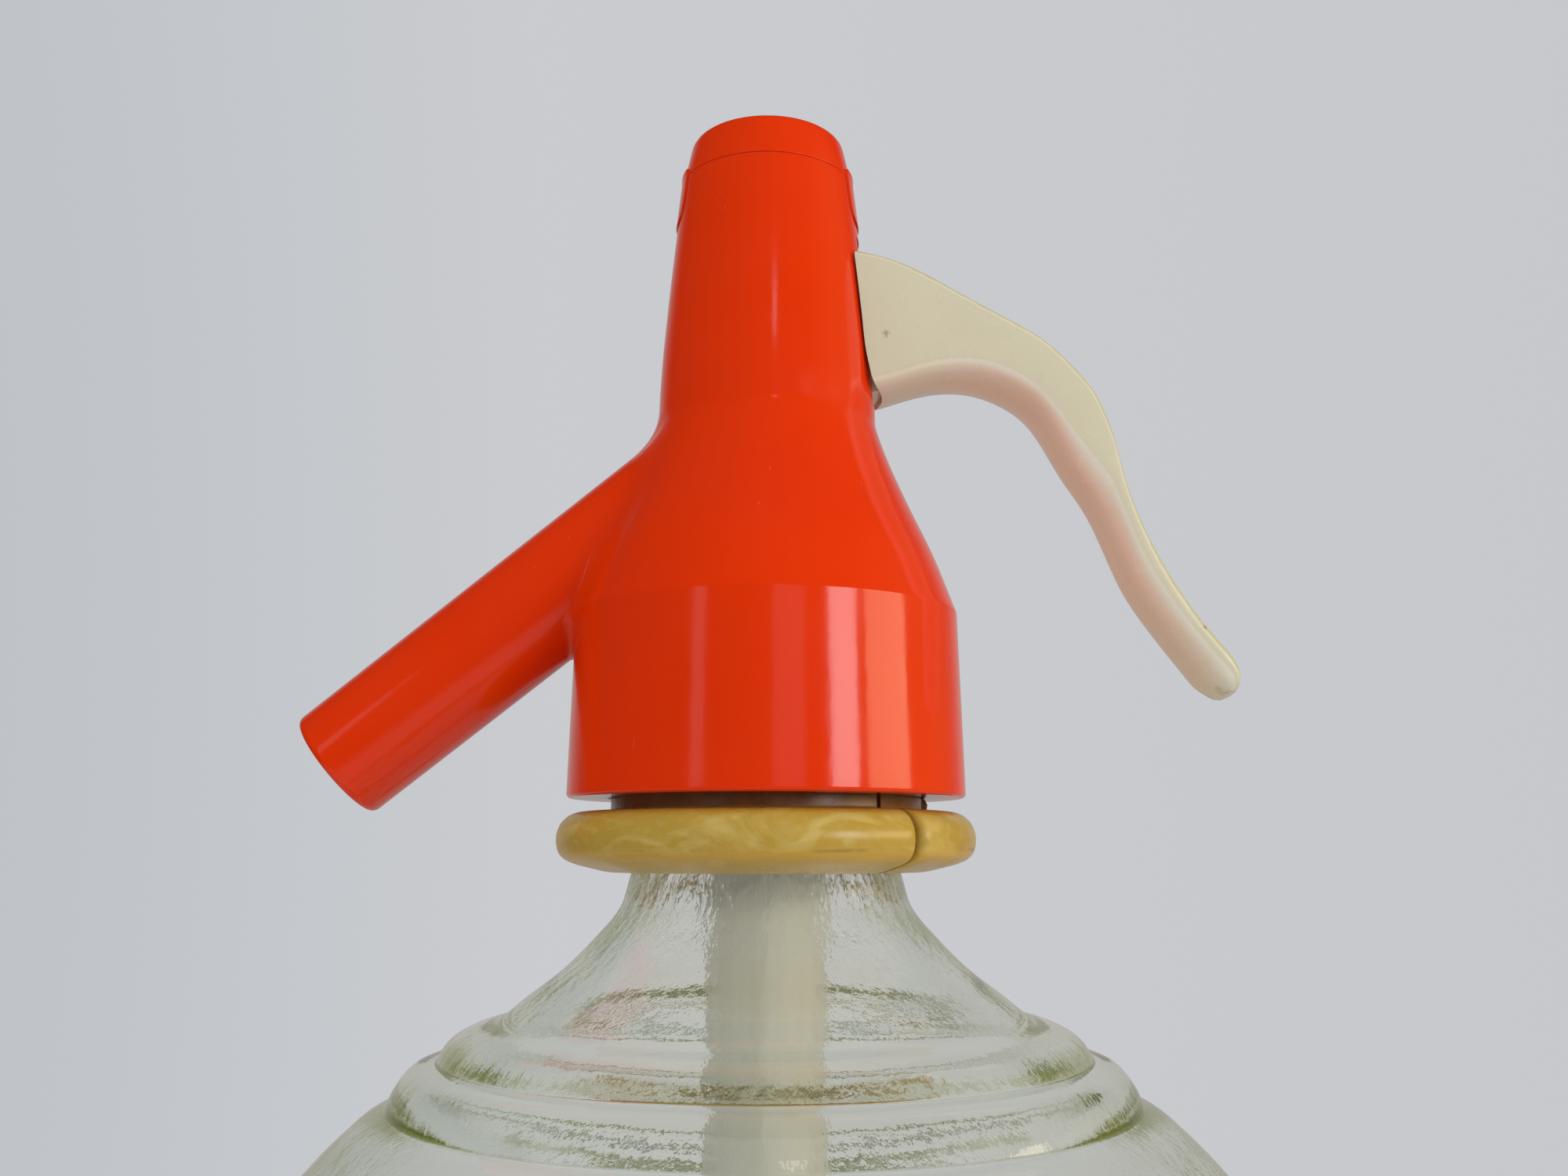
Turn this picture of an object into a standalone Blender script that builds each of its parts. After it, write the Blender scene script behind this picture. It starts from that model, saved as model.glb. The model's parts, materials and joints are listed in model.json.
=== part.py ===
"""Soda siphon: a ringed glass bottle with a screwed-on plastic head, spout and press lever.

Units are metres and +Z is up. The origin is the centre of the bottle's base, the spout
points to -X and the lever to +X. Pressing the lever turns it about its heel, its nose
lifts the spindle against the spring, and the valve disc leaves its seat.
"""

import math

import bmesh
import bpy
from mathutils import Matrix, Vector

# Bottle
BOTTLE_HEIGHT = 0.2235
BODY_RADIUS = 0.0575
GLASS_WALL = 0.0042
BASE_WALL = 0.0060
PUSH_UP = 0.0070
HEEL_ROUND = 0.0080
FOOT_WIDTH = 0.0060
NECK_RADIUS = 0.0146
NECK_WALL = 0.0026
BEAD_RADIUS = 0.0176
BEAD_HEIGHT = 0.0050
LIP_ROUND = 0.0008
SHOULDER_HEIGHT = 0.0540

# Radius gained and height dropped along the shoulder: flared neck, two rounded steps, body
NECK_FLARE_SHARES = (
    (0.000, 0.000), (0.021, 0.047), (0.045, 0.111), (0.111, 0.176), (0.191, 0.239),
    (0.289, 0.298), (0.350, 0.335),
)
FIRST_STEP_SHARES = ((0.424, 0.353), (0.471, 0.374), (0.494, 0.396), (0.502, 0.412))
SECOND_STEP_SHARES = ((0.564, 0.425), (0.599, 0.456), (0.617, 0.483), (0.624, 0.499))
BODY_ROUND_SHARES = (
    (0.667, 0.513), (0.731, 0.555), (0.795, 0.605), (0.855, 0.662), (0.911, 0.733),
    (0.956, 0.814), (0.984, 0.898), (1.000, 1.000),
)
# The same for the shoulder's smooth inner side
INNER_SHOULDER_SHARES = (
    (0.000, 0.000), (0.022, 0.067), (0.128, 0.218), (0.264, 0.316), (0.385, 0.390),
    (0.540, 0.459), (0.659, 0.540), (0.758, 0.605), (0.874, 0.707), (0.961, 0.837),
    (1.000, 1.000),
)
# Radius and height of the hollow under the base
PUSH_UP_SHARES = ((0.93, 0.25), (0.75, 0.65), (0.40, 0.93))

# Head: skirt, cone and tower
SKIRT_RADIUS = 0.0230
SKIRT_TOP_RADIUS = 0.0224
SKIRT_HEIGHT = 0.0213
SKIRT_DEPTH = 0.0215
RIM_CHAMFER = 0.0003
CONE_HEIGHT = 0.0230
TOWER_FOOT_RADIUS = 0.0131
TOWER_TOP_RADIUS = 0.0105
TOWER_HEIGHT = 0.0312
CHAMBER_RADIUS = 0.0075

# Height climbed and radius lost on the cone and on the tower
CONE_SHARES = ((0.10, 0.09), (0.26, 0.24), (0.43, 0.43), (0.60, 0.62), (0.77, 0.80), (0.90, 0.92))
TOWER_SHARES = ((0.09, 0.02), (0.28, 0.14), (0.41, 0.27), (0.54, 0.41), (0.80, 0.73))

# Spout, in the plane y = 0
SPOUT_TIP_RADIUS = 0.0069
SPOUT_ROOT_RADIUS = 0.0074
SPOUT_BORE = 0.0040
SPOUT_LENGTH = 0.0645
SPOUT_ANGLE = math.radians(39.0)
SPOUT_EDGE = 0.0008

# Cap with two tabs
CAP_HEIGHT = 0.0056
CAP_TOP_RADIUS = 0.0093
CAP_EDGE = 0.0008
CAP_ROOF = 0.0021
PLUG_LENGTH = 0.0055
PLUG_WALL = 0.0011
TAB_WIDTH = 0.0084
TAB_LENGTH = 0.0056
TAB_THICKNESS = 0.0016
TAB_PROUD = 0.0002

# Split collar round the bottle's neck, and its liner
COLLAR_CORE_RADIUS = 0.0179
FLANGE_RADIUS = 0.0240
FLANGE_HEIGHT = 0.0068
RIM_GAP = 0.0015
SPLIT_GAP = 0.0006
SPLIT_ANGLE = math.radians(-47.0)
THREAD_PITCH = 0.0036
THREAD_DEPTH = 0.0008
THREAD_ROUND = 0.0011
THREAD_CLEARANCE = 0.00035
THREAD_TURNS = 2.4
THREAD_SINK_SHARE = 0.6
THREAD_RUNOUT_SHARE = 0.15
LINER_WALL = 0.0009
LINER_SLOT = 0.0040

# The flange's edge from above: share of its overhang and share of its height
FLANGE_SHARES = (
    (0.36, 1.00), (0.77, 0.93), (0.93, 0.79), (1.00, 0.62), (1.00, 0.46),
    (0.95, 0.31), (0.86, 0.22), (0.70, 0.15), (0.38, 0.07),
)

# Stack between the bottle's mouth and the head, with the dip tube
GASKET_WALL = 0.0010
SEAL_FLANGE_RADIUS = 0.0173
HOLDER_FLANGE = 0.0015
HOLDER_WALL = 0.0017
HOLDER_DEPTH = 0.0141
HOLDER_HOLE = 0.0055
GRIP_WALL = 0.0009
GRIP_LENGTH = 0.0110
TUBE_RADIUS = 0.0069
TUBE_WALL = 0.0013
TUBE_FOOT_GAP = 0.0080

# Valve seat
SEAT_FLANGE_RADIUS = 0.0110
SEAT_FLANGE = 0.0010
SEAT_RADIUS = 0.0062
SEAT_BORE = 0.0032
SEAT_LIP = 0.0007
SEAT_HEIGHT = 0.0125
O_RING_WIRE = 0.0015
O_RING_PLACE_SHARE = 0.5

# Valve disc, spindle and what they carry
DISC_RADIUS = 0.0050
DISC_WALL = 0.0030
STEM_RADIUS = 0.0026
SCREW_RADIUS = 0.0010
SCREW_LENGTH = 0.0090
SCREW_HEAD_RADIUS = 0.0023
SCREW_HEAD = 0.0012
SCREW_SLOT = 0.0007
SPACER_WALL = 0.0012
BACKING_WALL = 0.0012
BACKING_RADIUS = 0.0066
CUP_WALL = 0.0030
CUP_GROOVE = 0.0012
CUP_GROOVE_SHARES = (0.80, 0.575, 0.35)
WINDOW_BELOW_SEAM = 0.0215
WINDOW_ABOVE_STEM = 0.0057
WINDOW_HEIGHT = 0.0060
PISTON_ROOF = 0.0020
POST_RADIUS = 0.0034
POST_LENGTH = 0.0080
VALVE_LIFT = 0.0021

# Return spring and its washers
SPRING_WIRE = 0.0013
SPRING_RADIUS = 0.0053
SPRING_TURNS = 7
SPRING_POINTS_PER_TURN = 10
WASHER_WALL = 0.0008
LOWER_WASHER_RADIUS = 0.0066
UPPER_WASHER_RADIUS = 0.0057

# Lever; its heel rocks in a cradle on the sill of the tower's slot
LEVER_WIDTH = 0.0120
LEVER_REACH = 0.0547
LEVER_BELOW_SEAM = 0.0103
LEVER_DROP = 0.0545
LEVER_EDGE = 0.0010
LEVER_WALL_GAP = 0.0008
LEVER_BEVEL_SEGMENTS = 2
HEEL_REACH = 0.0108
HEEL_BELOW_WINDOW = 0.0044
HEEL_RADIUS = 0.0018
TONGUE_WIDTH = 0.0058
NOSE_RADIUS = 0.0017
NOSE_FILLET = 0.0010
SLOT_ABOVE_WINDOW = 0.0080
SILL_FALL = 0.0015
SLOT_REACH_SHARE = 0.8

# Outline of the handle: share of the reach and share of the drop above the tip
HANDLE_TOP_SHARES = (
    (0.165, 1.007), (0.267, 0.985), (0.329, 0.958), (0.422, 0.903), (0.514, 0.850),
    (0.607, 0.794), (0.660, 0.741), (0.706, 0.688), (0.731, 0.635), (0.748, 0.582),
    (0.770, 0.479), (0.806, 0.374), (0.856, 0.273), (0.918, 0.174), (0.960, 0.123),
    (0.993, 0.073), (1.000, 0.048), (0.993, 0.024), (0.975, 0.014),
)
HANDLE_UNDER_SHARES = (
    (0.955, 0.030), (0.920, 0.078), (0.843, 0.182), (0.795, 0.257), (0.751, 0.360),
    (0.706, 0.462), (0.665, 0.523), (0.625, 0.600), (0.594, 0.653), (0.545, 0.694),
    (0.502, 0.714), (0.454, 0.728), (0.397, 0.730), (0.333, 0.719), (0.283, 0.702),
    (0.245, 0.690), (0.185, 0.678),
)

# Fits, cuts and mesh fineness
CLEARANCE = 0.0003
OVERRUN = 0.0020
WELD_DISTANCE = 0.00001
BOTTLE_STEPS = 40
HEAD_STEPS = 36
SMALL_STEPS = 20
THREAD_POINTS_PER_TURN = 20
ARC_SPANS = 4
RING_SPANS = 8
SMOOTH_ANGLE = math.radians(35.0)

# Heights that follow from the sizes, from the bottle's mouth up to the ceiling of the head
BEAD_Z = BOTTLE_HEIGHT - BEAD_HEIGHT
LIP_GASKET_Z = BOTTLE_HEIGHT + CLEARANCE
HOLDER_Z = LIP_GASKET_Z + GASKET_WALL + CLEARANCE
HEAD_GASKET_Z = HOLDER_Z + HOLDER_FLANGE + CLEARANCE
SEAT_Z = HEAD_GASKET_Z + GASKET_WALL + CLEARANCE
CEILING_Z = SEAT_Z + SEAT_FLANGE + CLEARANCE

# Heights of the skirt's rim, the collar under it and the bottle's neck
RIM_Z = CEILING_Z - SKIRT_DEPTH
FLANGE_TOP_Z = RIM_Z - RIM_GAP
COLLAR_Z = FLANGE_TOP_Z - FLANGE_HEIGHT
COLLAR_TOP_Z = BEAD_Z - CLEARANCE
NECK_END_Z = COLLAR_Z + FLANGE_HEIGHT / 3

# Heights up the head's outside
SKIRT_TOP_Z = RIM_Z + SKIRT_HEIGHT
CONE_TOP_Z = SKIRT_TOP_Z + CONE_HEIGHT
SEAM_Z = CONE_TOP_Z + TOWER_HEIGHT
CAP_TOP_Z = SEAM_Z + CAP_HEIGHT
CAP_CEILING_Z = CAP_TOP_Z - CAP_ROOF

# Heights up the valve, from its seat to the cap
SEAT_TOP_Z = CEILING_Z + SEAT_HEIGHT
DISC_Z = SEAT_TOP_Z + CLEARANCE
STEM_Z = DISC_Z + DISC_WALL + CLEARANCE
WINDOW_Z = SEAM_Z - WINDOW_BELOW_SEAM
PISTON_Z = WINDOW_Z - WINDOW_ABOVE_STEM
CUP_Z = PISTON_Z - CLEARANCE - CUP_WALL
BACKING_Z = CUP_Z - CLEARANCE - BACKING_WALL
WINDOW_TOP_Z = WINDOW_Z + WINDOW_HEIGHT
PISTON_TOP_Z = WINDOW_TOP_Z + PISTON_ROOF
LOWER_WASHER_Z = PISTON_TOP_Z + CLEARANCE
SPRING_Z = LOWER_WASHER_Z + WASHER_WALL + CLEARANCE
UPPER_WASHER_Z = CAP_CEILING_Z - CLEARANCE - WASHER_WALL
SPRING_TOP_Z = UPPER_WASHER_Z - CLEARANCE

# Radii and widths that follow from the sizes
NECK_BORE = NECK_RADIUS - NECK_WALL
HEAD_BORE = COLLAR_CORE_RADIUS + THREAD_CLEARANCE
THREAD_RADIUS = COLLAR_CORE_RADIUS + THREAD_DEPTH - THREAD_ROUND
LINER_BORE = NECK_RADIUS + CLEARANCE
COLLAR_BORE = LINER_BORE + LINER_WALL + CLEARANCE
GRIP_BORE = TUBE_RADIUS + CLEARANCE
HOLDER_BORE = GRIP_BORE + GRIP_WALL + CLEARANCE
SEAT_HOUSING = SEAT_RADIUS + CLEARANCE
PISTON_RADIUS = CHAMBER_RADIUS - CLEARANCE
STEM_BORE = SCREW_RADIUS + CLEARANCE
STEM_FIT = STEM_RADIUS + CLEARANCE
SLOT_WIDTH = TONGUE_WIDTH + 2 * CLEARANCE

# The lever's pivot, and the spout's axis
HEEL_Z = WINDOW_Z - HEEL_BELOW_WINDOW
LEVER_PIVOT = Vector((HEEL_REACH, 0, HEEL_Z))
SPOUT_START = Vector((0, 0, CONE_TOP_Z))
SPOUT_DIRECTION = Vector((-math.cos(SPOUT_ANGLE), 0, -math.sin(SPOUT_ANGLE)))


def make_collection(name):
    """Add a collection to the scene."""
    collection = bpy.data.collections.new(name)
    bpy.context.scene.collection.children.link(collection)
    return collection


def make_material(name, colour, roughness, metallic=0.0):
    """Make a Principled material from a colour, a roughness and a metallic value."""
    material = bpy.data.materials.new(name)
    material.use_nodes = True
    material.diffuse_color = (*colour, 1.0)
    shader = material.node_tree.nodes["Principled BSDF"]
    shader.inputs["Base Color"].default_value = (*colour, 1.0)
    shader.inputs["Roughness"].default_value = roughness
    shader.inputs["Metallic"].default_value = metallic
    return material


def place(name, data, collection):
    """Put a mesh or a curve in a collection as a named object."""
    piece = bpy.data.objects.new(name, data)
    collection.objects.link(piece)
    return piece


def bake(piece):
    """Swap an object for one that holds its evaluated mesh, welded and shaded smooth."""
    bpy.context.view_layer.update()
    graph = bpy.context.evaluated_depsgraph_get()
    mesh = bpy.data.meshes.new_from_object(piece.evaluated_get(graph))
    shape = bmesh.new()
    shape.from_mesh(mesh)
    bmesh.ops.remove_doubles(shape, verts=shape.verts, dist=WELD_DISTANCE)
    shape.to_mesh(mesh)
    shape.free()
    mesh.shade_smooth()
    mesh.set_sharp_from_angle(angle=SMOOTH_ANGLE)
    name = piece.name
    collection = piece.users_collection[0]
    matrix = piece.matrix_world.copy()
    bpy.data.objects.remove(piece)
    baked = place(name, mesh, collection)
    baked.matrix_world = matrix
    return baked


def turned(name, profile, collection, steps):
    """Turn (radius, height) points about Z; the points run down the piece's outer side."""
    count = len(profile)
    edges = [(index, index + 1) for index in range(count - 1)]
    if profile[0][0] > 0:
        edges.append((count - 1, 0))
    mesh = bpy.data.meshes.new(name)
    mesh.from_pydata([(radius, 0, height) for radius, height in profile], edges, [])
    piece = place(name, mesh, collection)
    screw = piece.modifiers.new("Turn", "SCREW")
    screw.steps = steps
    screw.render_steps = steps
    screw.use_merge_vertices = True
    screw.merge_threshold = WELD_DISTANCE
    return bake(piece)


def ring(name, bore, radius, low, height, collection, steps):
    """A flat ring from its bore, outer radius, lower height and thickness."""
    high = low + height
    profile = [(bore, high), (radius, high), (radius, low), (bore, low)]
    return turned(name, profile, collection, steps)


def prism(name, outline, width, collection, origin):
    """Extrude an outline of (x, z) points to a width centred on the plane y = 0."""
    curve = bpy.data.curves.new(name, "CURVE")
    curve.dimensions = "2D"
    curve.fill_mode = "BOTH"
    curve.extrude = width / 2
    spline = curve.splines.new("POLY")
    spline.points.add(len(outline) - 1)
    for point, (x, z) in zip(spline.points, outline):
        point.co = (x - origin.x, z - origin.z, 0, 1)
    spline.use_cyclic_u = True
    piece = place(name, curve, collection)
    piece.location = origin
    piece.rotation_euler.x = math.pi / 2
    return bake(piece)


def side_prism(name, outline, near, far, collection):
    """Extrude an outline of (y, z) points along X, from a near to a far place."""
    curve = bpy.data.curves.new(name, "CURVE")
    curve.dimensions = "2D"
    curve.fill_mode = "BOTH"
    curve.extrude = abs(far - near) / 2
    spline = curve.splines.new("POLY")
    spline.points.add(len(outline) - 1)
    for point, (y, z) in zip(spline.points, outline):
        point.co = (y, z, 0, 1)
    spline.use_cyclic_u = True
    piece = place(name, curve, collection)
    piece.location.x = (near + far) / 2
    piece.rotation_euler = (math.pi / 2, 0, math.pi / 2)
    return bake(piece)


def tube(name, points, radius, collection):
    """A round wire through points, with flat ends."""
    curve = bpy.data.curves.new(name, "CURVE")
    curve.dimensions = "3D"
    curve.bevel_depth = radius
    curve.bevel_resolution = 1
    curve.use_fill_caps = True
    spline = curve.splines.new("POLY")
    spline.points.add(len(points) - 1)
    for point, place_on_path in zip(spline.points, points):
        point.co = (*place_on_path, 1)
    return bake(place(name, curve, collection))


def rod(name, start, direction, length, near_radius, far_radius, collection, steps):
    """A capped cylinder or cone from a start point along a direction."""
    mesh = bpy.data.meshes.new(name)
    shape = bmesh.new()
    bmesh.ops.create_cone(
        shape, cap_ends=True, segments=steps, radius1=near_radius, radius2=far_radius, depth=length
    )
    shape.to_mesh(mesh)
    shape.free()
    mesh.shade_smooth()
    mesh.set_sharp_from_angle(angle=SMOOTH_ANGLE)
    piece = place(name, mesh, collection)
    piece.location = start + direction * length / 2
    piece.rotation_euler = direction.to_track_quat("Z", "Y").to_euler()
    return piece


def block(name, low, high, collection):
    """A box between two corners."""
    size = high - low
    mesh = bpy.data.meshes.new(name)
    shape = bmesh.new()
    stretch = Matrix.Translation((low + high) / 2) @ Matrix.Diagonal((*size, 1))
    bmesh.ops.create_cube(shape, size=1, matrix=stretch)
    shape.to_mesh(mesh)
    shape.free()
    return place(name, mesh, collection)


def combine(piece, other, operation="DIFFERENCE"):
    """Cut, join or intersect a piece with another, which becomes a hidden guide."""
    boolean = piece.modifiers.new(other.name, "BOOLEAN")
    boolean.object = other
    boolean.operation = operation
    other.hide_render = True
    other.display_type = "WIRE"
    return piece


def paint(piece, material):
    """Give a piece its one material."""
    piece.data.materials.clear()
    piece.data.materials.append(material)
    return piece


def arc(centre_x, centre_z, radius, start, end, spans=ARC_SPANS):
    """Points on an arc between two angles, which are in degrees."""
    points = []
    for index in range(spans + 1):
        angle = math.radians(start + (end - start) * index / spans)
        points.append((centre_x + radius * math.cos(angle), centre_z + radius * math.sin(angle)))
    return points


def smooth(points, spans=2):
    """Read a smooth curve through points, with a number of spans between each two."""
    padded = [points[0], *points, points[-1]]
    curve = []
    for first, start, end, last in zip(padded, padded[1:], padded[2:], padded[3:]):
        for index in range(spans):
            t = index / spans
            weights = (
                (-t + 2 * t**2 - t**3) / 2,
                (2 - 5 * t**2 + 3 * t**3) / 2,
                (t + 4 * t**2 - 3 * t**3) / 2,
                (t**3 - t**2) / 2,
            )
            curve.append(tuple(
                sum(weight * point[axis] for weight, point in zip(weights, (first, start, end, last)))
                for axis in range(2)
            ))
    curve.append(points[-1])
    return curve


def helix(radius, low, pitch, turns, points_per_turn):
    """Points up a helix that starts on the X axis."""
    count = round(turns * points_per_turn)
    points = []
    for index in range(count + 1):
        angle = 2 * math.pi * index / points_per_turn
        height = low + pitch * index / points_per_turn
        points.append((radius * math.cos(angle), radius * math.sin(angle), height))
    return points


def shoulder(neck_radius, body_radius, shares):
    """A side of the shoulder, from the neck down to the body."""
    gain = body_radius - neck_radius
    return [
        (neck_radius + gain * out_share, NECK_END_Z - SHOULDER_HEIGHT * down_share)
        for out_share, down_share in shares
    ]


def shoulder_outside():
    """The shoulder's outer side, with a crease after each step."""
    stretches = (NECK_FLARE_SHARES, FIRST_STEP_SHARES, SECOND_STEP_SHARES, BODY_ROUND_SHARES)
    return [point for shares in stretches for point in shoulder(NECK_RADIUS, BODY_RADIUS, shares)]


def base_dome(radius, height):
    """The rise of the base from a foot radius in to the axis."""
    return [(radius * out_share, height + PUSH_UP * up_share) for out_share, up_share in PUSH_UP_SHARES]


def make_bottle(parts, glass):
    """Glass bottle with a beaded mouth, two shoulder rings and a flat foot ring."""
    inner_radius = BODY_RADIUS - GLASS_WALL
    floor_radius = inner_radius - HEEL_ROUND
    foot_radius = BODY_RADIUS - HEEL_ROUND
    inside = [(0, BASE_WALL + PUSH_UP), *reversed(base_dome(floor_radius, BASE_WALL))]
    inside += arc(floor_radius, BASE_WALL + HEEL_ROUND, HEEL_ROUND, -90, 0)
    inside += [*reversed(shoulder(NECK_BORE, inner_radius, INNER_SHOULDER_SHARES))]
    lip = arc(NECK_BORE + LIP_ROUND, BOTTLE_HEIGHT - LIP_ROUND, LIP_ROUND, 180, 90, 2)
    bead = arc(BEAD_RADIUS - LIP_ROUND, BOTTLE_HEIGHT - LIP_ROUND, LIP_ROUND, 90, 0, 2)
    bead += arc(BEAD_RADIUS - LIP_ROUND, BEAD_Z + LIP_ROUND, LIP_ROUND, 0, -90, 2)
    outside = [(NECK_RADIUS, BEAD_Z), *shoulder_outside()]
    outside += arc(foot_radius, HEEL_ROUND, HEEL_ROUND, 0, -90)
    outside += [(foot_radius - FOOT_WIDTH, 0), *base_dome(foot_radius - FOOT_WIDTH, 0), (0, PUSH_UP)]
    return paint(turned("bottle", inside + lip + bead + outside, parts, BOTTLE_STEPS), glass)


def thread_points(turns_below, turns):
    """The thread's centre line, from a number of turns below its start on the collar."""
    low = FLANGE_TOP_Z + THREAD_ROUND * THREAD_SINK_SHARE - turns_below * THREAD_PITCH
    return helix(THREAD_RADIUS, low, THREAD_PITCH, turns, THREAD_POINTS_PER_TURN)


def make_collar_half(name, side, parts, guides, plastic):
    """One half of the split collar: threaded sleeve over a round-edged flange."""
    overhang = FLANGE_RADIUS - COLLAR_CORE_RADIUS
    profile = [(COLLAR_BORE, COLLAR_TOP_Z), (COLLAR_CORE_RADIUS, COLLAR_TOP_Z)]
    profile.append((COLLAR_CORE_RADIUS, FLANGE_TOP_Z))
    for out_share, up_share in FLANGE_SHARES:
        profile.append((COLLAR_CORE_RADIUS + overhang * out_share, COLLAR_Z + FLANGE_HEIGHT * up_share))
    profile += [(COLLAR_CORE_RADIUS, COLLAR_Z), (COLLAR_BORE, COLLAR_Z)]
    half = turned(name, profile, parts, HEAD_STEPS)
    thread = tube(name + "_thread", thread_points(0, THREAD_TURNS), THREAD_ROUND, guides)
    combine(half, thread, "UNION")
    reach = FLANGE_RADIUS + OVERRUN
    far_side = sorted((-side * reach, side * SPLIT_GAP / 2))
    low = Vector((-reach, far_side[0], COLLAR_Z - OVERRUN))
    high = Vector((reach, far_side[1], COLLAR_TOP_Z + OVERRUN))
    other_half = block(name + "_split", low, high, guides)
    other_half.rotation_euler.z = SPLIT_ANGLE
    combine(half, other_half)
    return paint(half, plastic)


def make_collar_liner(parts, guides, rubber):
    """Thin split sleeve between the collar and the bottle's neck."""
    height = COLLAR_TOP_Z - NECK_END_Z
    liner = ring("collar_liner", LINER_BORE, LINER_BORE + LINER_WALL, NECK_END_Z, height, parts, HEAD_STEPS)
    low = Vector((-LINER_SLOT / 2, 0, NECK_END_Z - OVERRUN))
    high = Vector((LINER_SLOT / 2, COLLAR_BORE, COLLAR_TOP_Z + OVERRUN))
    combine(liner, block("liner_slot", low, high, guides))
    return paint(liner, rubber)


def make_tube_and_holder(parts, rubber, nylon, tube_plastic):
    """Lip gasket, tube holder, head gasket, rubber grip and dip tube."""
    mouth_bore = NECK_BORE + CLEARANCE
    lip_gasket = ring(
        "lip_gasket", mouth_bore, SEAL_FLANGE_RADIUS, LIP_GASKET_Z, GASKET_WALL, parts, HEAD_STEPS
    )
    paint(lip_gasket, rubber)
    holder_top = HOLDER_Z + HOLDER_FLANGE
    holder_foot = HOLDER_Z - HOLDER_DEPTH
    sleeve_radius = HOLDER_BORE + HOLDER_WALL
    holder = turned("tube_holder", [
        (HOLDER_HOLE, holder_top), (SEAL_FLANGE_RADIUS, holder_top), (SEAL_FLANGE_RADIUS, HOLDER_Z),
        (sleeve_radius, HOLDER_Z), (sleeve_radius, holder_foot), (HOLDER_BORE, holder_foot),
        (HOLDER_BORE, HOLDER_Z - HOLDER_FLANGE), (HOLDER_HOLE, HOLDER_Z - HOLDER_FLANGE),
    ], parts, HEAD_STEPS)
    paint(holder, nylon)
    head_gasket = ring(
        "head_gasket", HOLDER_HOLE, SEAL_FLANGE_RADIUS, HEAD_GASKET_Z, GASKET_WALL, parts, HEAD_STEPS
    )
    paint(head_gasket, rubber)
    tube_top = HOLDER_Z - HOLDER_FLANGE - CLEARANCE
    grip = ring("tube_grip", GRIP_BORE, GRIP_BORE + GRIP_WALL, tube_top - GRIP_LENGTH, GRIP_LENGTH,
                parts, SMALL_STEPS)
    paint(grip, rubber)
    tube_foot = PUSH_UP + BASE_WALL + TUBE_FOOT_GAP
    dip_tube = ring("dip_tube", TUBE_RADIUS - TUBE_WALL, TUBE_RADIUS, tube_foot, tube_top - tube_foot,
                    parts, SMALL_STEPS)
    paint(dip_tube, tube_plastic)


def make_valve_seat(parts, brass, rubber):
    """Valve seat with its raised lip, and the O-ring in the groove round it."""
    flange_top = SEAT_Z + SEAT_FLANGE
    groove = O_RING_WIRE / 2 + CLEARANCE
    groove_z = CEILING_Z + SEAT_HEIGHT * O_RING_PLACE_SHARE
    groove_floor = SEAT_RADIUS - O_RING_WIRE - CLEARANCE
    lip_radius = SEAT_BORE + SEAT_LIP
    lip_foot = SEAT_TOP_Z - SEAT_LIP
    seat = turned("valve_seat", [
        (SEAT_BORE, SEAT_TOP_Z), (lip_radius, SEAT_TOP_Z), (lip_radius + SEAT_LIP, lip_foot),
        (SEAT_RADIUS, lip_foot), (SEAT_RADIUS, groove_z + groove), (groove_floor, groove_z + groove),
        (groove_floor, groove_z - groove), (SEAT_RADIUS, groove_z - groove), (SEAT_RADIUS, flange_top),
        (SEAT_FLANGE_RADIUS, flange_top), (SEAT_FLANGE_RADIUS, SEAT_Z), (SEAT_BORE, SEAT_Z),
    ], parts, SMALL_STEPS)
    paint(seat, brass)
    centre = SEAT_RADIUS - O_RING_WIRE / 2
    section = arc(centre, groove_z, O_RING_WIRE / 2, 90, -270, RING_SPANS)[:-1]
    paint(turned("seat_o_ring", section, parts, SMALL_STEPS), rubber)


def outer_profile():
    """The head's outside as (radius, height) points, from the cap's seam down to the rim."""
    lost = TOWER_FOOT_RADIUS - TOWER_TOP_RADIUS
    profile = [(TOWER_TOP_RADIUS, SEAM_Z)]
    for up_share, lost_share in reversed(TOWER_SHARES):
        profile.append((TOWER_FOOT_RADIUS - lost * lost_share, CONE_TOP_Z + TOWER_HEIGHT * up_share))
    profile.append((TOWER_FOOT_RADIUS, CONE_TOP_Z))
    lost = SKIRT_TOP_RADIUS - TOWER_FOOT_RADIUS
    for up_share, lost_share in reversed(CONE_SHARES):
        profile.append((SKIRT_TOP_RADIUS - lost * lost_share, SKIRT_TOP_Z + CONE_HEIGHT * up_share))
    profile += [(SKIRT_TOP_RADIUS, SKIRT_TOP_Z), (SKIRT_RADIUS, RIM_Z + RIM_CHAMFER)]
    profile.append((SKIRT_RADIUS - RIM_CHAMFER, RIM_Z))
    return profile


def grown_tower(name, gap, guides):
    """The tower and cone grown by a gap, as a solid that shapes what stands beside them."""
    sides = [(radius + gap, height) for radius, height in outer_profile() if height >= SKIRT_TOP_Z]
    return turned(name, [(0, SEAM_Z), *sides, (0, SKIRT_TOP_Z)], guides, HEAD_STEPS)


def tab_outline(gap):
    """Outline of a cap tab as (y, z) points with rounded lower corners, widened by a gap."""
    half = TAB_WIDTH / 2 + gap
    foot = SEAM_Z - TAB_LENGTH - gap
    top = SEAM_Z + CAP_EDGE
    corner = half / 2
    left = arc(corner - half, foot + corner, corner, 180, 270)
    right = arc(half - corner, foot + corner, corner, 270, 360)
    return [*left, *right, (half, top), (-half, top)]


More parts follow.
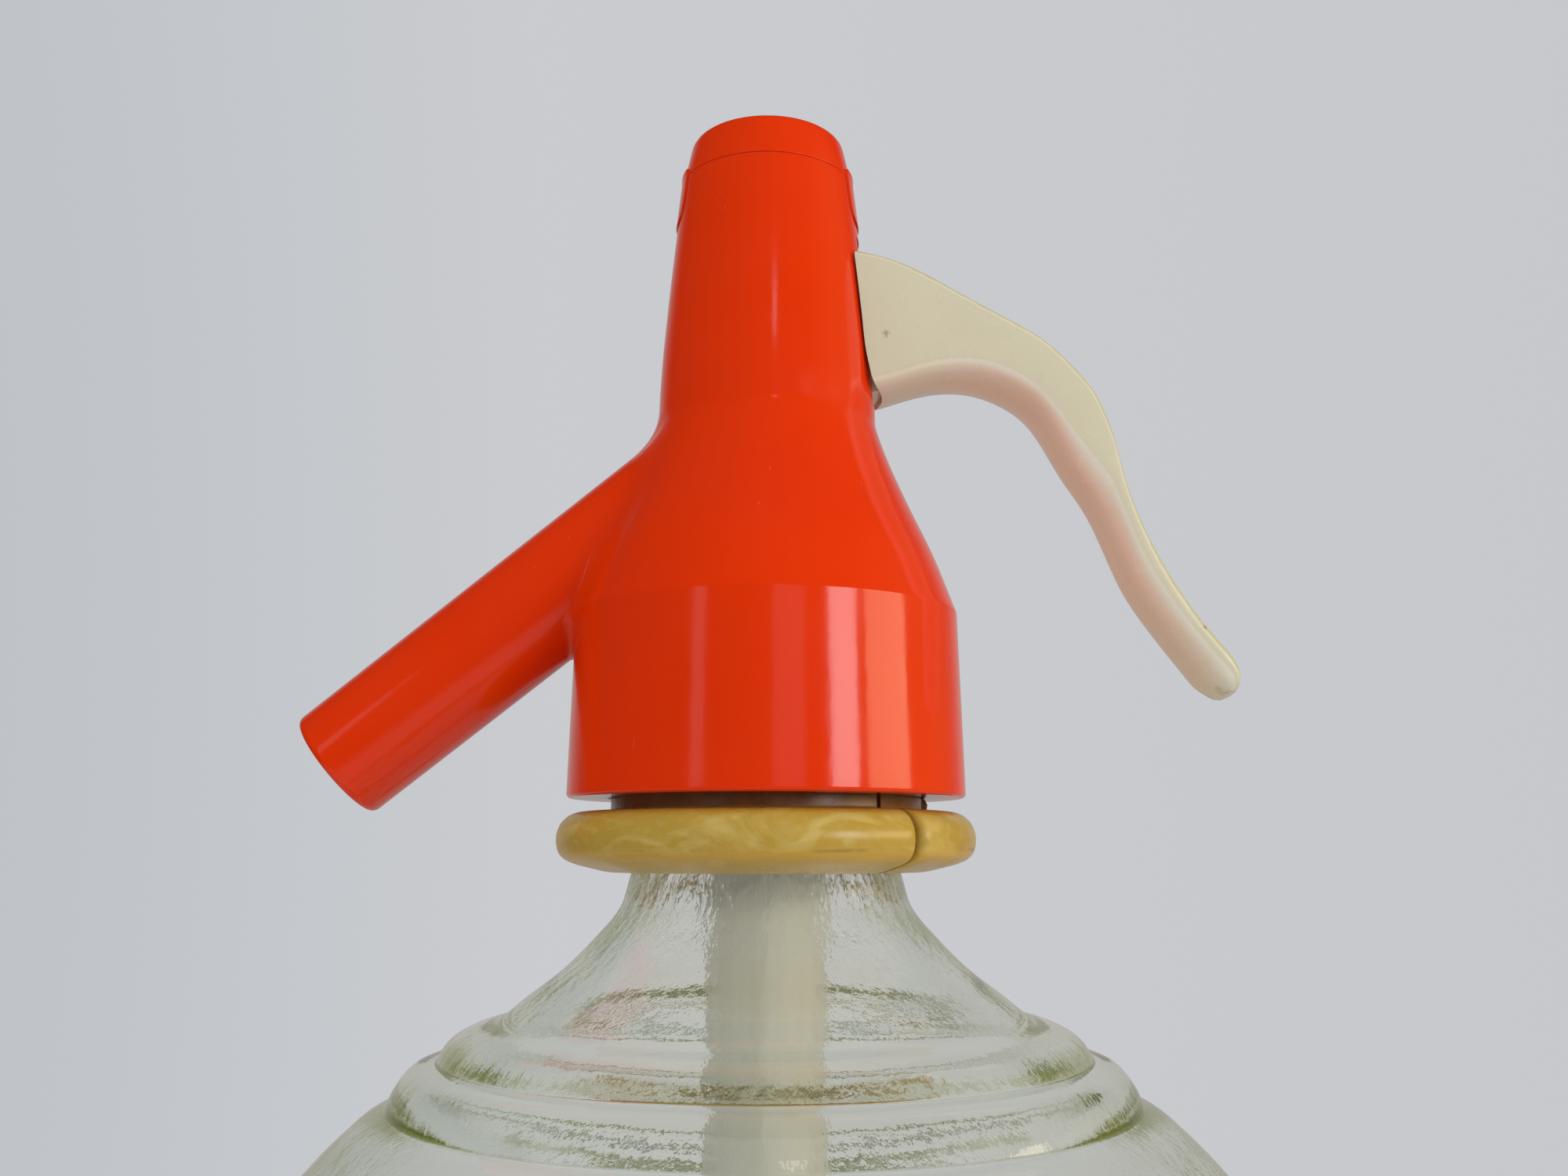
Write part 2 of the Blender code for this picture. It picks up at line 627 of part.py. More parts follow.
def slot_outline():
    """The lever slot's outline in the plane y = 0: window above, heel cradle below."""
    inner = CHAMBER_RADIUS * SLOT_REACH_SHARE
    outer = TOWER_FOOT_RADIUS + OVERRUN
    cradle = HEEL_RADIUS + CLEARANCE
    floor = PISTON_Z + VALVE_LIFT + 2 * CLEARANCE
    top = WINDOW_TOP_Z + SLOT_ABOVE_WINDOW
    sill = HEEL_Z - cradle - SILL_FALL
    return [
        (inner, top), (outer, top), (outer, sill),
        *reversed(arc(HEEL_REACH, HEEL_Z, cradle, 180, 270)),
        (HEEL_REACH - cradle, floor), (inner, floor),
    ]


def make_head(parts, guides, plastic):
    """Head body: skirt, cone, tower and spout in one moulding, with all its bores."""
    top = SEAM_Z - CLEARANCE
    _, *sides = outer_profile()
    head = turned("head_body", [(0, top), (TOWER_TOP_RADIUS, top), *sides, (0, RIM_Z)], parts, HEAD_STEPS)
    spout = turned("spout_barrel", [
        (0, SPOUT_LENGTH),
        *arc(SPOUT_TIP_RADIUS - SPOUT_EDGE, SPOUT_LENGTH - SPOUT_EDGE, SPOUT_EDGE, 90, 0),
        (SPOUT_ROOT_RADIUS, 0), (0, 0),
    ], guides, SMALL_STEPS)
    spout.location = SPOUT_START
    spout.rotation_euler = SPOUT_DIRECTION.to_track_quat("Z", "Y").to_euler()
    combine(head, spout, "UNION")
    cavity = turned("head_cavity", [
        (0, SEAM_Z + OVERRUN), (CHAMBER_RADIUS, SEAM_Z + OVERRUN), (CHAMBER_RADIUS, SEAT_TOP_Z),
        (SEAT_HOUSING, SEAT_TOP_Z - SEAT_LIP), (SEAT_HOUSING, CEILING_Z), (HEAD_BORE, CEILING_Z),
        (HEAD_BORE, RIM_Z - OVERRUN), (0, RIM_Z - OVERRUN),
    ], guides, HEAD_STEPS)
    combine(head, cavity)
    groove_turns = 1 + THREAD_TURNS + THREAD_RUNOUT_SHARE
    groove = tube("head_thread", thread_points(1, groove_turns), THREAD_ROUND + THREAD_CLEARANCE, guides)
    combine(head, groove)
    bore = rod("spout_bore", SPOUT_START, SPOUT_DIRECTION, SPOUT_LENGTH + OVERRUN,
               SPOUT_BORE, SPOUT_BORE, guides, SMALL_STEPS)
    combine(head, bore)
    combine(head, prism("lever_slot", slot_outline(), SLOT_WIDTH, guides, Vector()))
    for side, name in ((-1, "front"), (1, "back")):
        near = side * (TOWER_TOP_RADIUS - TAB_THICKNESS - CLEARANCE)
        far = side * (TOWER_FOOT_RADIUS + OVERRUN)
        combine(head, side_prism("tab_recess_" + name, tab_outline(CLEARANCE), near, far, guides))
    return paint(head, plastic)


def make_cap(parts, guides, plastic):
    """Top cap: roof, plug that enters the tower, and two tabs that drop into its recesses."""
    plug_radius = CHAMBER_RADIUS - CLEARANCE
    plug_bore = plug_radius - PLUG_WALL
    middle_radius = (CAP_TOP_RADIUS + TOWER_TOP_RADIUS) / 2
    cap = turned("top_cap", [
        (0, CAP_TOP_Z), *arc(CAP_TOP_RADIUS - CAP_EDGE, CAP_TOP_Z - CAP_EDGE, CAP_EDGE, 90, 0, 2),
        (middle_radius, (CAP_TOP_Z + SEAM_Z) / 2), (TOWER_TOP_RADIUS, SEAM_Z), (plug_radius, SEAM_Z),
        (plug_radius, SEAM_Z - PLUG_LENGTH), (plug_bore, SEAM_Z - PLUG_LENGTH),
        (plug_bore, CAP_CEILING_Z), (0, CAP_CEILING_Z),
    ], parts, HEAD_STEPS)
    for side, name in ((-1, "front"), (1, "back")):
        near = side * (TOWER_TOP_RADIUS - TAB_THICKNESS)
        far = side * (TOWER_FOOT_RADIUS + OVERRUN)
        tab = side_prism("tab_" + name, tab_outline(0), near, far, guides)
        combine(tab, grown_tower("tab_face_" + name, TAB_PROUD, guides), "INTERSECT")
        combine(cap, tab, "UNION")
    return paint(cap, plastic)


def handle_outline():
    """The lever handle's outline, from the tower over the top to the tip and back below."""
    low = SEAM_Z - LEVER_BELOW_SEAM - LEVER_DROP
    outline = []
    for shares in (HANDLE_TOP_SHARES, HANDLE_UNDER_SHARES):
        side = [(LEVER_REACH * out_share, low + LEVER_DROP * up_share) for out_share, up_share in shares]
        outline += smooth(side)
    return outline


def tongue_outline():
    """The lever's tongue: heel, stem in the slot and nose in the spindle's window."""
    nose_z = WINDOW_TOP_Z - CLEARANCE - NOSE_RADIUS
    stem_x = HEEL_REACH - HEEL_RADIUS
    root_x = HEEL_REACH + 2 * HEEL_RADIUS
    return [
        *arc(HEEL_REACH, HEEL_Z, HEEL_RADIUS, 180, 270),
        (root_x, HEEL_Z - HEEL_RADIUS / 2), (root_x, WINDOW_TOP_Z + 2 * NOSE_RADIUS),
        (stem_x + HEEL_RADIUS, WINDOW_TOP_Z + NOSE_RADIUS), (stem_x, nose_z + NOSE_RADIUS),
        *arc(0, nose_z, NOSE_RADIUS, 90, 270, 2 * ARC_SPANS),
        *reversed(arc(stem_x - NOSE_FILLET, nose_z - NOSE_RADIUS - NOSE_FILLET, NOSE_FILLET, 0, 90, 2)),
    ]


def make_lever(parts, guides, plastic):
    """Press lever: a wide rounded handle with a narrow tongue, its origin at the heel."""
    lever = prism("lever", handle_outline(), LEVER_WIDTH, parts, LEVER_PIVOT)
    rounding = lever.modifiers.new("Rounding", "BEVEL")
    rounding.width = LEVER_EDGE
    rounding.segments = LEVER_BEVEL_SEGMENTS
    rounding.limit_method = "ANGLE"
    rounding.angle_limit = 2 * SMOOTH_ANGLE
    combine(lever, grown_tower("lever_clearance", LEVER_WALL_GAP, guides))
    combine(lever, prism("lever_tongue", tongue_outline(), TONGUE_WIDTH, guides, LEVER_PIVOT), "UNION")
    return paint(lever, plastic)


def make_spindle(parts, guides, nylon):
    """Valve spindle: stem, piston with the lever's window, and post inside the spring."""
    post_top = PISTON_TOP_Z + POST_LENGTH
    screw_end = STEM_Z + SCREW_LENGTH - DISC_WALL
    spindle = turned("valve_spindle", [
        (0, post_top), (POST_RADIUS, post_top), (POST_RADIUS, PISTON_TOP_Z),
        (PISTON_RADIUS, PISTON_TOP_Z), (PISTON_RADIUS, PISTON_Z), (STEM_RADIUS, PISTON_Z),
        (STEM_RADIUS, STEM_Z), (STEM_BORE, STEM_Z), (STEM_BORE, screw_end), (0, screw_end),
    ], parts, SMALL_STEPS)
    reach = PISTON_RADIUS + OVERRUN
    low = Vector((-reach, -SLOT_WIDTH / 2, WINDOW_Z))
    high = Vector((reach, SLOT_WIDTH / 2, WINDOW_TOP_Z))
    combine(spindle, block("spindle_window", low, high, guides))
    return paint(spindle, nylon)


def make_valve_stack(parts, guides, rubber, brass, nylon):
    """What the spindle's stem carries: disc, screw, spacer, backing ring and cup seal."""
    paint(ring("valve_disc", STEM_BORE, DISC_RADIUS, DISC_Z, DISC_WALL, parts, SMALL_STEPS), rubber)
    head_top = DISC_Z - CLEARANCE
    head_foot = head_top - SCREW_HEAD
    screw_end = DISC_Z + SCREW_LENGTH
    screw = turned("disc_screw", [
        (0, screw_end), (SCREW_RADIUS, screw_end), (SCREW_RADIUS, head_top),
        (SCREW_HEAD_RADIUS, head_top), (SCREW_HEAD_RADIUS, head_foot), (0, head_foot),
    ], parts, SMALL_STEPS)
    low = Vector((-SCREW_HEAD_RADIUS - OVERRUN, -SCREW_SLOT / 2, head_foot - OVERRUN))
    high = Vector((SCREW_HEAD_RADIUS + OVERRUN, SCREW_SLOT / 2, head_foot + SCREW_HEAD / 2))
    combine(screw, block("screw_slot", low, high, guides))
    paint(screw, brass)
    height = BACKING_Z - CLEARANCE - STEM_Z
    spacer = ring("disc_spacer", STEM_FIT, STEM_FIT + SPACER_WALL, STEM_Z, height, parts, SMALL_STEPS)
    paint(spacer, nylon)
    backing = ring("seal_backing_ring", STEM_FIT, BACKING_RADIUS, BACKING_Z, BACKING_WALL,
                   parts, SMALL_STEPS)
    paint(backing, brass)
    band = PISTON_RADIUS - STEM_FIT
    groove = [
        (STEM_FIT + band * share, CUP_Z + CUP_GROOVE * (index % 2))
        for index, share in enumerate(CUP_GROOVE_SHARES)
    ]
    cup = turned("spindle_cup_seal", [
        (STEM_FIT, CUP_Z + CUP_WALL), (PISTON_RADIUS, CUP_Z + CUP_WALL), (PISTON_RADIUS, CUP_Z),
        *groove, (STEM_FIT, CUP_Z),
    ], parts, SMALL_STEPS)
    paint(cup, rubber)


def make_spring(parts, steel):
    """Return spring between its two washers, inside the cap."""
    lower = ring("lower_spring_washer", POST_RADIUS + CLEARANCE, LOWER_WASHER_RADIUS, LOWER_WASHER_Z,
                 WASHER_WALL, parts, SMALL_STEPS)
    paint(lower, steel)
    upper = ring("upper_spring_washer", POST_RADIUS + CLEARANCE, UPPER_WASHER_RADIUS, UPPER_WASHER_Z,
                 WASHER_WALL, parts, SMALL_STEPS)
    paint(upper, steel)
    low = SPRING_Z + SPRING_WIRE / 2
    high = SPRING_TOP_Z - SPRING_WIRE / 2
    pitch = (high - low) / SPRING_TURNS
    points = helix(SPRING_RADIUS - SPRING_WIRE / 2, low, pitch, SPRING_TURNS, SPRING_POINTS_PER_TURN)
    paint(tube("valve_spring", points, SPRING_WIRE / 2, parts), steel)
    one_turn = SPRING_POINTS_PER_TURN
    nearest = min(
        math.dist(point, other)
        for index, point in enumerate(points)
        for other in points[index + one_turn // 2:]
    )
    print("valve_spring: least gap between turns", round(1000 * (nearest - SPRING_WIRE), 3), "mm")


def main():
    """Build the siphon in its own collection, with its cutters and guides in another."""
    for leftover in list(bpy.data.objects):
        bpy.data.objects.remove(leftover)
    parts = make_collection("soda_siphon")
    guides = make_collection("cutters")
    glass = make_material("clear_glass", (0.80, 0.87, 0.82), 0.05)
    orange = make_material("orange_plastic", (0.75, 0.07, 0.01), 0.25)
    ivory = make_material("ivory_plastic", (0.72, 0.66, 0.50), 0.35)
    ochre = make_material("ochre_plastic", (0.58, 0.38, 0.12), 0.40)
    nylon = make_material("white_nylon", (0.80, 0.79, 0.74), 0.45)
    milky = make_material("milky_tube", (0.78, 0.80, 0.78), 0.50)
    rubber = make_material("dark_rubber", (0.06, 0.04, 0.03), 0.80)
    brown = make_material("brown_liner", (0.22, 0.10, 0.04), 0.80)
    brass = make_material("brass", (0.70, 0.52, 0.22), 0.30, 1.0)
    steel = make_material("spring_steel", (0.60, 0.60, 0.60), 0.30, 1.0)

    make_bottle(parts, glass)
    make_collar_half("collar_half_front", -1, parts, guides, ochre)
    make_collar_half("collar_half_rear", 1, parts, guides, ochre)
    make_collar_liner(parts, guides, brown)
    make_tube_and_holder(parts, rubber, nylon, milky)
    make_valve_seat(parts, brass, rubber)
    make_head(parts, guides, orange)
    make_cap(parts, guides, orange)
    make_lever(parts, guides, ivory)
    make_spindle(parts, guides, nylon)
    make_valve_stack(parts, guides, rubber, brass, nylon)
    make_spring(parts, steel)


main()
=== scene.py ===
"""Soda siphon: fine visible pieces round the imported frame, with materials, light, backdrop and camera."""
import json
import math

import bmesh
import bpy
from mathutils import Matrix, Vector


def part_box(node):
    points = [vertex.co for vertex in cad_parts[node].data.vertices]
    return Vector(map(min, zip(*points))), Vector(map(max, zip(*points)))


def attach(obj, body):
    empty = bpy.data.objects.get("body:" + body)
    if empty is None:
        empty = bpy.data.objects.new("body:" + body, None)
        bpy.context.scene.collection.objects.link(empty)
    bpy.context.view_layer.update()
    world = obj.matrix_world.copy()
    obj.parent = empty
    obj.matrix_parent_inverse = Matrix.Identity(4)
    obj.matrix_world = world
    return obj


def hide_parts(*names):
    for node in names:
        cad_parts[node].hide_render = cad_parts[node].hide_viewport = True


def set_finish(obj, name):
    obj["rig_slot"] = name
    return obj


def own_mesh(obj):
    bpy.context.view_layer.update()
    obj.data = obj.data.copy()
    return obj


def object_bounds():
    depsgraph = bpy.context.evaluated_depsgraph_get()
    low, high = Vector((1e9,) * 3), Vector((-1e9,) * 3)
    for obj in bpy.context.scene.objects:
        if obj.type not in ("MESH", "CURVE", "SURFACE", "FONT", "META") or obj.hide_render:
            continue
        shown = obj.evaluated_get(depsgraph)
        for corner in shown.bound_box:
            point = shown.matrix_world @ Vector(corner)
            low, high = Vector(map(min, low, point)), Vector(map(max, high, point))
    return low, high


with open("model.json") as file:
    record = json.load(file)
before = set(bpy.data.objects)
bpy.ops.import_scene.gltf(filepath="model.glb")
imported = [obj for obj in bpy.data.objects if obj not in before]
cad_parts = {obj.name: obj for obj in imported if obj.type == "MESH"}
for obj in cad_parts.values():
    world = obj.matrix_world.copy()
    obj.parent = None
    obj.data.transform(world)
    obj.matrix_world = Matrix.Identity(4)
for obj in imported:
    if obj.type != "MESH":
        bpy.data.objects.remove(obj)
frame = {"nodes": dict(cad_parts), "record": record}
cad_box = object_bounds()
nodes = frame["nodes"]

MM = 0.001
FINE = 180

SKIRT_LOW = 0.2080
CONE_TOP = 0.2523
SKIRT_TOP = 0.2293
CHAMBER = 0.0075
SPOUT_START = Vector((0, 0, CONE_TOP))
SPOUT_ALONG = Vector((-math.cos(math.radians(39)), 0, -math.sin(math.radians(39))))
SPOUT_LENGTH = 0.0645
SPOUT_ROOT = 0.0074
SPOUT_TIP = 0.0069
SPOUT_BORE = 0.0040
SEAM = 0.2835
HINGE_X, HINGE_Z = 0.0108, 0.2576
SKIRT_BORE = 0.01825
COLLAR_NECK = 0.0179
COLLAR_BORE = 0.0161
COLLAR_LOW, COLLAR_HIGH = 0.1997, 0.2182
FLANGE_TOP = 0.2065
RIDGE, PITCH = 0.0011, 0.0036


# Mesh helpers

def add_piece(name, mesh, body, slot, *replaced):
    """Put a mesh in the scene as a named piece that rides on a body."""
    mesh.shade_smooth()
    mesh.set_sharp_from_angle(angle=math.radians(32))
    piece = bpy.data.objects.new(name, mesh)
    bpy.context.scene.collection.objects.link(piece)
    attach(piece, body)
    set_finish(piece, slot)
    if replaced:
        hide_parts(*replaced)
    return piece


def half_section(node, turn=0.0):
    """Profile of a turned CAD node in one half plane, as ordered (radius, height) points."""
    mesh = nodes[node].data
    cos, sin = math.cos(turn), math.sin(turn)
    keys = []
    for vertex in mesh.vertices:
        x, y, z = vertex.co
        along = x * cos + y * sin
        across = y * cos - x * sin
        keys.append((round(along, 5), round(z, 5)) if abs(across) < 3e-6 and along > -1e-6 else None)
    links = {}
    for polygon in mesh.polygons:
        ring = [keys[index] for index in polygon.vertices]
        for one, two in zip(ring, ring[1:] + ring[:1]):
            if one and two and one != two:
                links.setdefault(one, set()).add(two)
                links.setdefault(two, set()).add(one)
    ends = [key for key, near in links.items() if len(near) == 1]
    start = max(ends, key=lambda key: key[1]) if ends else max(links, key=lambda key: (key[1], -key[0]))
    path = [start]
    seen = {start}
    while True:
        onward = [key for key in links[path[-1]] if key not in seen]
        if not onward:
            return path
        path.append(min(onward, key=lambda key: (Vector(key) - Vector(path[-1])).length))
        seen.add(path[-1])


def spline(points, step):
    """Smooth curve through (a, b) points, with spans of about one step and little overshoot."""
    if len(points) < 3:
        return list(points)
    spots = [Vector(point) for point in points]
    tangents = []
    for index, here in enumerate(spots):
        before = spots[max(index - 1, 0)]
        after = spots[min(index + 1, len(spots) - 1)]
        back = max((here - before).length, 1e-9)
        ahead = max((after - here).length, 1e-9)
        if index in (0, len(spots) - 1):
            tangents.append((after - before).normalized())
        elif max(back, ahead) > 4 * min(back, ahead):
            tangents.append((here - before) / back if back > ahead else (after - here) / ahead)
        else:
            tangents.append(((here - before) / back * ahead + (after - here) / ahead * back) / (back + ahead))
    curve = []
    for index in range(len(spots) - 1):
        one, two = spots[index], spots[index + 1]
        length = (two - one).length
        spans = max(1, min(14, round(length / step)))
        for count in range(spans):
            t = count / spans
            spot = (one * (2 * t**3 - 3 * t**2 + 1) + tangents[index] * length * (t**3 - 2 * t**2 + t)
                    + two * (3 * t**2 - 2 * t**3) + tangents[index + 1] * length * (t**3 - t**2))
            curve.append(tuple(spot))
    curve.append(tuple(spots[-1]))
    return curve


def fine_profile(points, fillet, corner=38, step=0.0009, closed=False):
    """Fillet the corners of a profile and smooth what lies between them."""
    count = len(points)
    vectors = [Vector(point) for point in points]
    stretches = [[]]
    for index, here in enumerate(vectors):
        if not closed and index in (0, count - 1):
            stretches[-1].append(here)
            continue
        before = vectors[index - 1]
        after = vectors[(index + 1) % count]
        into = here - before
        away = after - here
        turn = into.angle(away)
        if turn < math.radians(corner):
            stretches[-1].append(here)
            continue
        radius = fillet(here) if callable(fillet) else fillet
        reach = min(radius * math.tan(turn / 2), 0.42 * into.length, 0.42 * away.length)
        start = here - into.normalized() * reach
        end = here + away.normalized() * reach
        stretches[-1].append(start)
        spans = 5
        arc = [start.lerp(here, t / spans).lerp(here.lerp(end, t / spans), t / spans) for t in range(spans + 1)]
        stretches.append(arc)
        stretches.append([end])
    if closed and len(stretches) > 1:
        stretches[0] = stretches.pop() + stretches[0]
    out = []
    for number, stretch in enumerate(stretches):
        line = [tuple(p) for p in stretch]
        line = line if number % 2 else spline(line, step)
        out += line if not out else line[1:]
    if closed and (Vector(out[0]) - Vector(out[-1])).length < 1e-7:
        out.pop()
    return out


def turned_mesh(name, profile, closed, steps=FINE):
    """Turn a (radius, height) profile about Z."""
    shape = bmesh.new()
    rings = []
    for radius, height in profile:
        if radius < 1e-6:
            rings.append([shape.verts.new((0, 0, height))])
            continue
        ring = []
        for index in range(steps):
            angle = 2 * math.pi * index / steps
            ring.append(shape.verts.new((radius * math.cos(angle), radius * math.sin(angle), height)))
        rings.append(ring)
    pairs = list(zip(rings, rings[1:]))
    if closed:
        pairs.append((rings[-1], rings[0]))
    for above, below in pairs:
        for index in range(steps):
            onward = (index + 1) % steps
            if len(above) == 1 and len(below) == 1:
                continue
            if len(above) == 1:
                shape.faces.new((above[0], below[index], below[onward]))
            elif len(below) == 1:
                shape.faces.new((above[index], below[0], above[onward]))
            else:
                shape.faces.new((above[index], below[index], below[onward], above[onward]))
    bmesh.ops.recalc_face_normals(shape, faces=shape.faces)
    mesh = bpy.data.meshes.new(name)
    shape.to_mesh(mesh)
    shape.free()
    return mesh


def flat_solid(name, outline, width, plane="XZ"):
    """Extrude an outline both ways from its plane; XZ outlines stand on Y, YZ outlines on X."""
    shape = bmesh.new()
    faces = []
    for side in (-0.5, 0.5):
        if plane == "XZ":
            faces.append([shape.verts.new((a, side * width, b)) for a, b in outline])
        else:
            faces.append([shape.verts.new((side * width, a, b)) for a, b in outline])
    near, far = faces
    shape.faces.new(near)
    shape.faces.new(list(reversed(far)))
    count = len(outline)
    for index in range(count):
        onward = (index + 1) % count
        shape.faces.new((near[index], far[index], far[onward], near[onward]))
    bmesh.ops.recalc_face_normals(shape, faces=shape.faces)
    mesh = bpy.data.meshes.new(name)
    shape.to_mesh(mesh)
    shape.free()
    return mesh


def tube_mesh(name, points, radius, sides=10):
    """A round wire through points, with its ends closed."""
    shape = bmesh.new()
    rings = []
    count = len(points)
    normal = None
    for index, point in enumerate(points):
        point = Vector(point)
        along = (Vector(points[min(index + 1, count - 1)]) - Vector(points[max(index - 1, 0)])).normalized()
        if normal is None:
            normal = along.orthogonal().normalized()
        normal = (normal - along * normal.dot(along)).normalized()
        across = along.cross(normal)
        ring = []
        for side in range(sides):
            angle = 2 * math.pi * side / sides
            ring.append(shape.verts.new(point + (normal * math.cos(angle) + across * math.sin(angle)) * radius))
        rings.append(ring)
    for above, below in zip(rings, rings[1:]):
        for side in range(sides):
            onward = (side + 1) % sides
            shape.faces.new((above[side], above[onward], below[onward], below[side]))
    shape.faces.new(list(reversed(rings[0])))
    shape.faces.new(rings[-1])
    bmesh.ops.recalc_face_normals(shape, faces=shape.faces)
    mesh = bpy.data.meshes.new(name)
    shape.to_mesh(mesh)
    shape.free()
    return mesh


def solid_result(mesh, steps):
    """Cut, join or intersect a mesh with others in turn and give the resulting mesh."""
    base = bpy.data.objects.new("work", mesh)
    bpy.context.scene.collection.objects.link(base)
    helpers = []
    for operation, other in steps:
        helper = bpy.data.objects.new("helper", other)
        bpy.context.scene.collection.objects.link(helper)
        helpers.append(helper)
        boolean = base.modifiers.new("cut", "BOOLEAN")
        boolean.operation = operation
        boolean.solver = "EXACT"
        boolean.object = helper
    bpy.context.view_layer.update()
    graph = bpy.context.evaluated_depsgraph_get()
    result = bpy.data.meshes.new_from_object(base.evaluated_get(graph))
    for thing in [base, *helpers]:
        bpy.data.objects.remove(thing)
    result.name = mesh.name
    return result


def joined(name, *meshes):
    """Several meshes as one."""
    shape = bmesh.new()
    for mesh in meshes:
        shape.from_mesh(mesh)
    out = bpy.data.meshes.new(name)
    shape.to_mesh(out)
    shape.free()
    return out


def placed(mesh, start, along):
    """Move a mesh built on +Z so that its Z runs along a direction from a start point."""
    mesh.transform(Matrix.Translation(start) @ along.to_track_quat("Z", "Y").to_matrix().to_4x4())
    return mesh


def arc_points(centre_a, centre_b, radius, start, end, spans=8):
    """Points on an arc between two angles in degrees."""
    angles = [math.radians(start + (end - start) * index / spans) for index in range(spans + 1)]
    return [(centre_a + radius * math.cos(angle), centre_b + radius * math.sin(angle)) for angle in angles]


# Materials

class Paint:
    """A Principled material that is built node by node."""

    def __init__(self, name, colour, roughness, **sockets):
        self.material = bpy.data.materials.new(name)
        self.material.use_nodes = True
        self.tree = self.material.node_tree
        self.shader = self.tree.nodes["Principled BSDF"]
        self.output = self.tree.nodes["Material Output"]
        self.shader.inputs["Base Color"].default_value = (*colour, 1)
        self.shader.inputs["Roughness"].default_value = roughness
        for socket, value in sockets.items():
            self.shader.inputs[socket.replace("_", " ")].default_value = value
        self.place = self.tree.nodes.new("ShaderNodeTexCoord").outputs["Object"]

    def put(self, value, socket):
        """Link an output to a socket, or set a plain value there."""
        if isinstance(value, bpy.types.NodeSocket):
            self.tree.links.new(value, socket)
        elif isinstance(value, tuple) and len(value) == 3 and socket.type == "RGBA":
            socket.default_value = (*value, 1)
        else:
            socket.default_value = value

    def maths(self, operation, one, two=0.0, three=0.0):
        """A Math node's result."""
        node = self.tree.nodes.new("ShaderNodeMath")
        node.operation = operation
        for value, socket in zip((one, two, three), node.inputs):
            self.put(value, socket)
        return node.outputs[0]

    def vector(self, operation, one, two=None):
        """A Vector Math node; length and dot product give a number."""
        node = self.tree.nodes.new("ShaderNodeVectorMath")
        node.operation = operation
        self.put(one, node.inputs[0])
        if operation == "SCALE":
            self.put(two, node.inputs["Scale"])
        elif two is not None:
            self.put(two, node.inputs[1])
        return node.outputs["Value" if operation in ("LENGTH", "DOT_PRODUCT", "DISTANCE") else "Vector"]

    def stretch(self, x, y, z, place=None):
        """The position multiplied along each axis."""
        return self.vector("MULTIPLY", place or self.place, (x, y, z))

    def parts_of(self, place=None):
        """The three numbers of a position."""
        node = self.tree.nodes.new("ShaderNodeSeparateXYZ")
        self.put(place or self.place, node.inputs[0])
        return node.outputs

    def noise(self, scale, detail=3.0, rough=0.5, place=None, distortion=0.0):
        """Noise between about 0.25 and 0.75."""
        node = self.tree.nodes.new("ShaderNodeTexNoise")
        self.put(place or self.place, node.inputs["Vector"])
        node.inputs["Scale"].default_value = scale
        node.inputs["Detail"].default_value = detail
        node.inputs["Roughness"].default_value = rough
        node.inputs["Distortion"].default_value = distortion
        return node.outputs["Fac"]

    def rise(self, value, low, high, smooth=True):
        """0 below low, 1 above high, with a soft step between; low may be the larger."""
        node = self.tree.nodes.new("ShaderNodeMapRange")
        node.interpolation_type = "SMOOTHSTEP" if smooth else "LINEAR"
        self.put(value, node.inputs["Value"])
        node.inputs["From Min"].default_value = min(low, high)
        node.inputs["From Max"].default_value = max(low, high)
        node.inputs["To Min"].default_value = 0.0 if low < high else 1.0
        node.inputs["To Max"].default_value = 1.0 if low < high else 0.0
        return node.outputs["Result"]

    def blend(self, share, one, two):
        """Mix two colours."""
        node = self.tree.nodes.new("ShaderNodeMix")
        node.data_type = "RGBA"
        self.put(share, node.inputs["Factor"])
        self.put(one, node.inputs["A"])
        self.put(two, node.inputs["B"])
        return node.outputs["Result"]

    def spot(self, place, radius, soft=0.5, ragged=0.0):
        """1 within a radius of a place in millimetres, falling to 0 at its edge."""
        centre = tuple(value * MM for value in place)
        distance = self.vector("DISTANCE", self.place, centre)
        if ragged:
            grain = self.maths("SUBTRACT", self.noise(1.3 / (radius * MM), 4.0, 0.7), 0.5)
            distance = self.maths("MULTIPLY_ADD", grain, ragged * radius * MM * 2, distance)
        return self.rise(distance, radius * MM, radius * MM * soft)

    def streak(self, start, end, width, soft=0.4, ragged=0.0):
        """1 along a line between two places in millimetres, within half a width."""
        one = Vector(start) * MM
        two = Vector(end) * MM
        along = two - one
        offset = self.vector("SUBTRACT", self.place, tuple(one))
        share = self.maths("DIVIDE", self.vector("DOT_PRODUCT", offset, tuple(along)), along.length_squared)
        share = self.maths("MINIMUM", self.maths("MAXIMUM", share, 0.0), 1.0)
        nearest = self.vector("SCALE", tuple(along), share)
        distance = self.vector("DISTANCE", offset, nearest)
        if ragged:
            grain = self.maths("SUBTRACT", self.noise(2.5 / (width * MM), 3.0, 0.7), 0.5)
            distance = self.maths("MULTIPLY_ADD", grain, ragged * width * MM, distance)
        return self.rise(distance, width * MM / 2, width * MM / 2 * soft)

    def any_of(self, masks):
        """The largest of several masks."""
        result = masks[0]
        for mask in masks[1:]:
            result = self.maths("MAXIMUM", result, mask)
        return result

    def bump(self, height, distance, strength=1.0, after=None):
        """A bump for the shader's normal."""
        node = self.tree.nodes.new("ShaderNodeBump")
        self.put(height, node.inputs["Height"])
        node.inputs["Distance"].default_value = distance
        node.inputs["Strength"].default_value = strength
        if after is not None:
            self.put(after, node.inputs["Normal"])
        return node.outputs["Normal"]

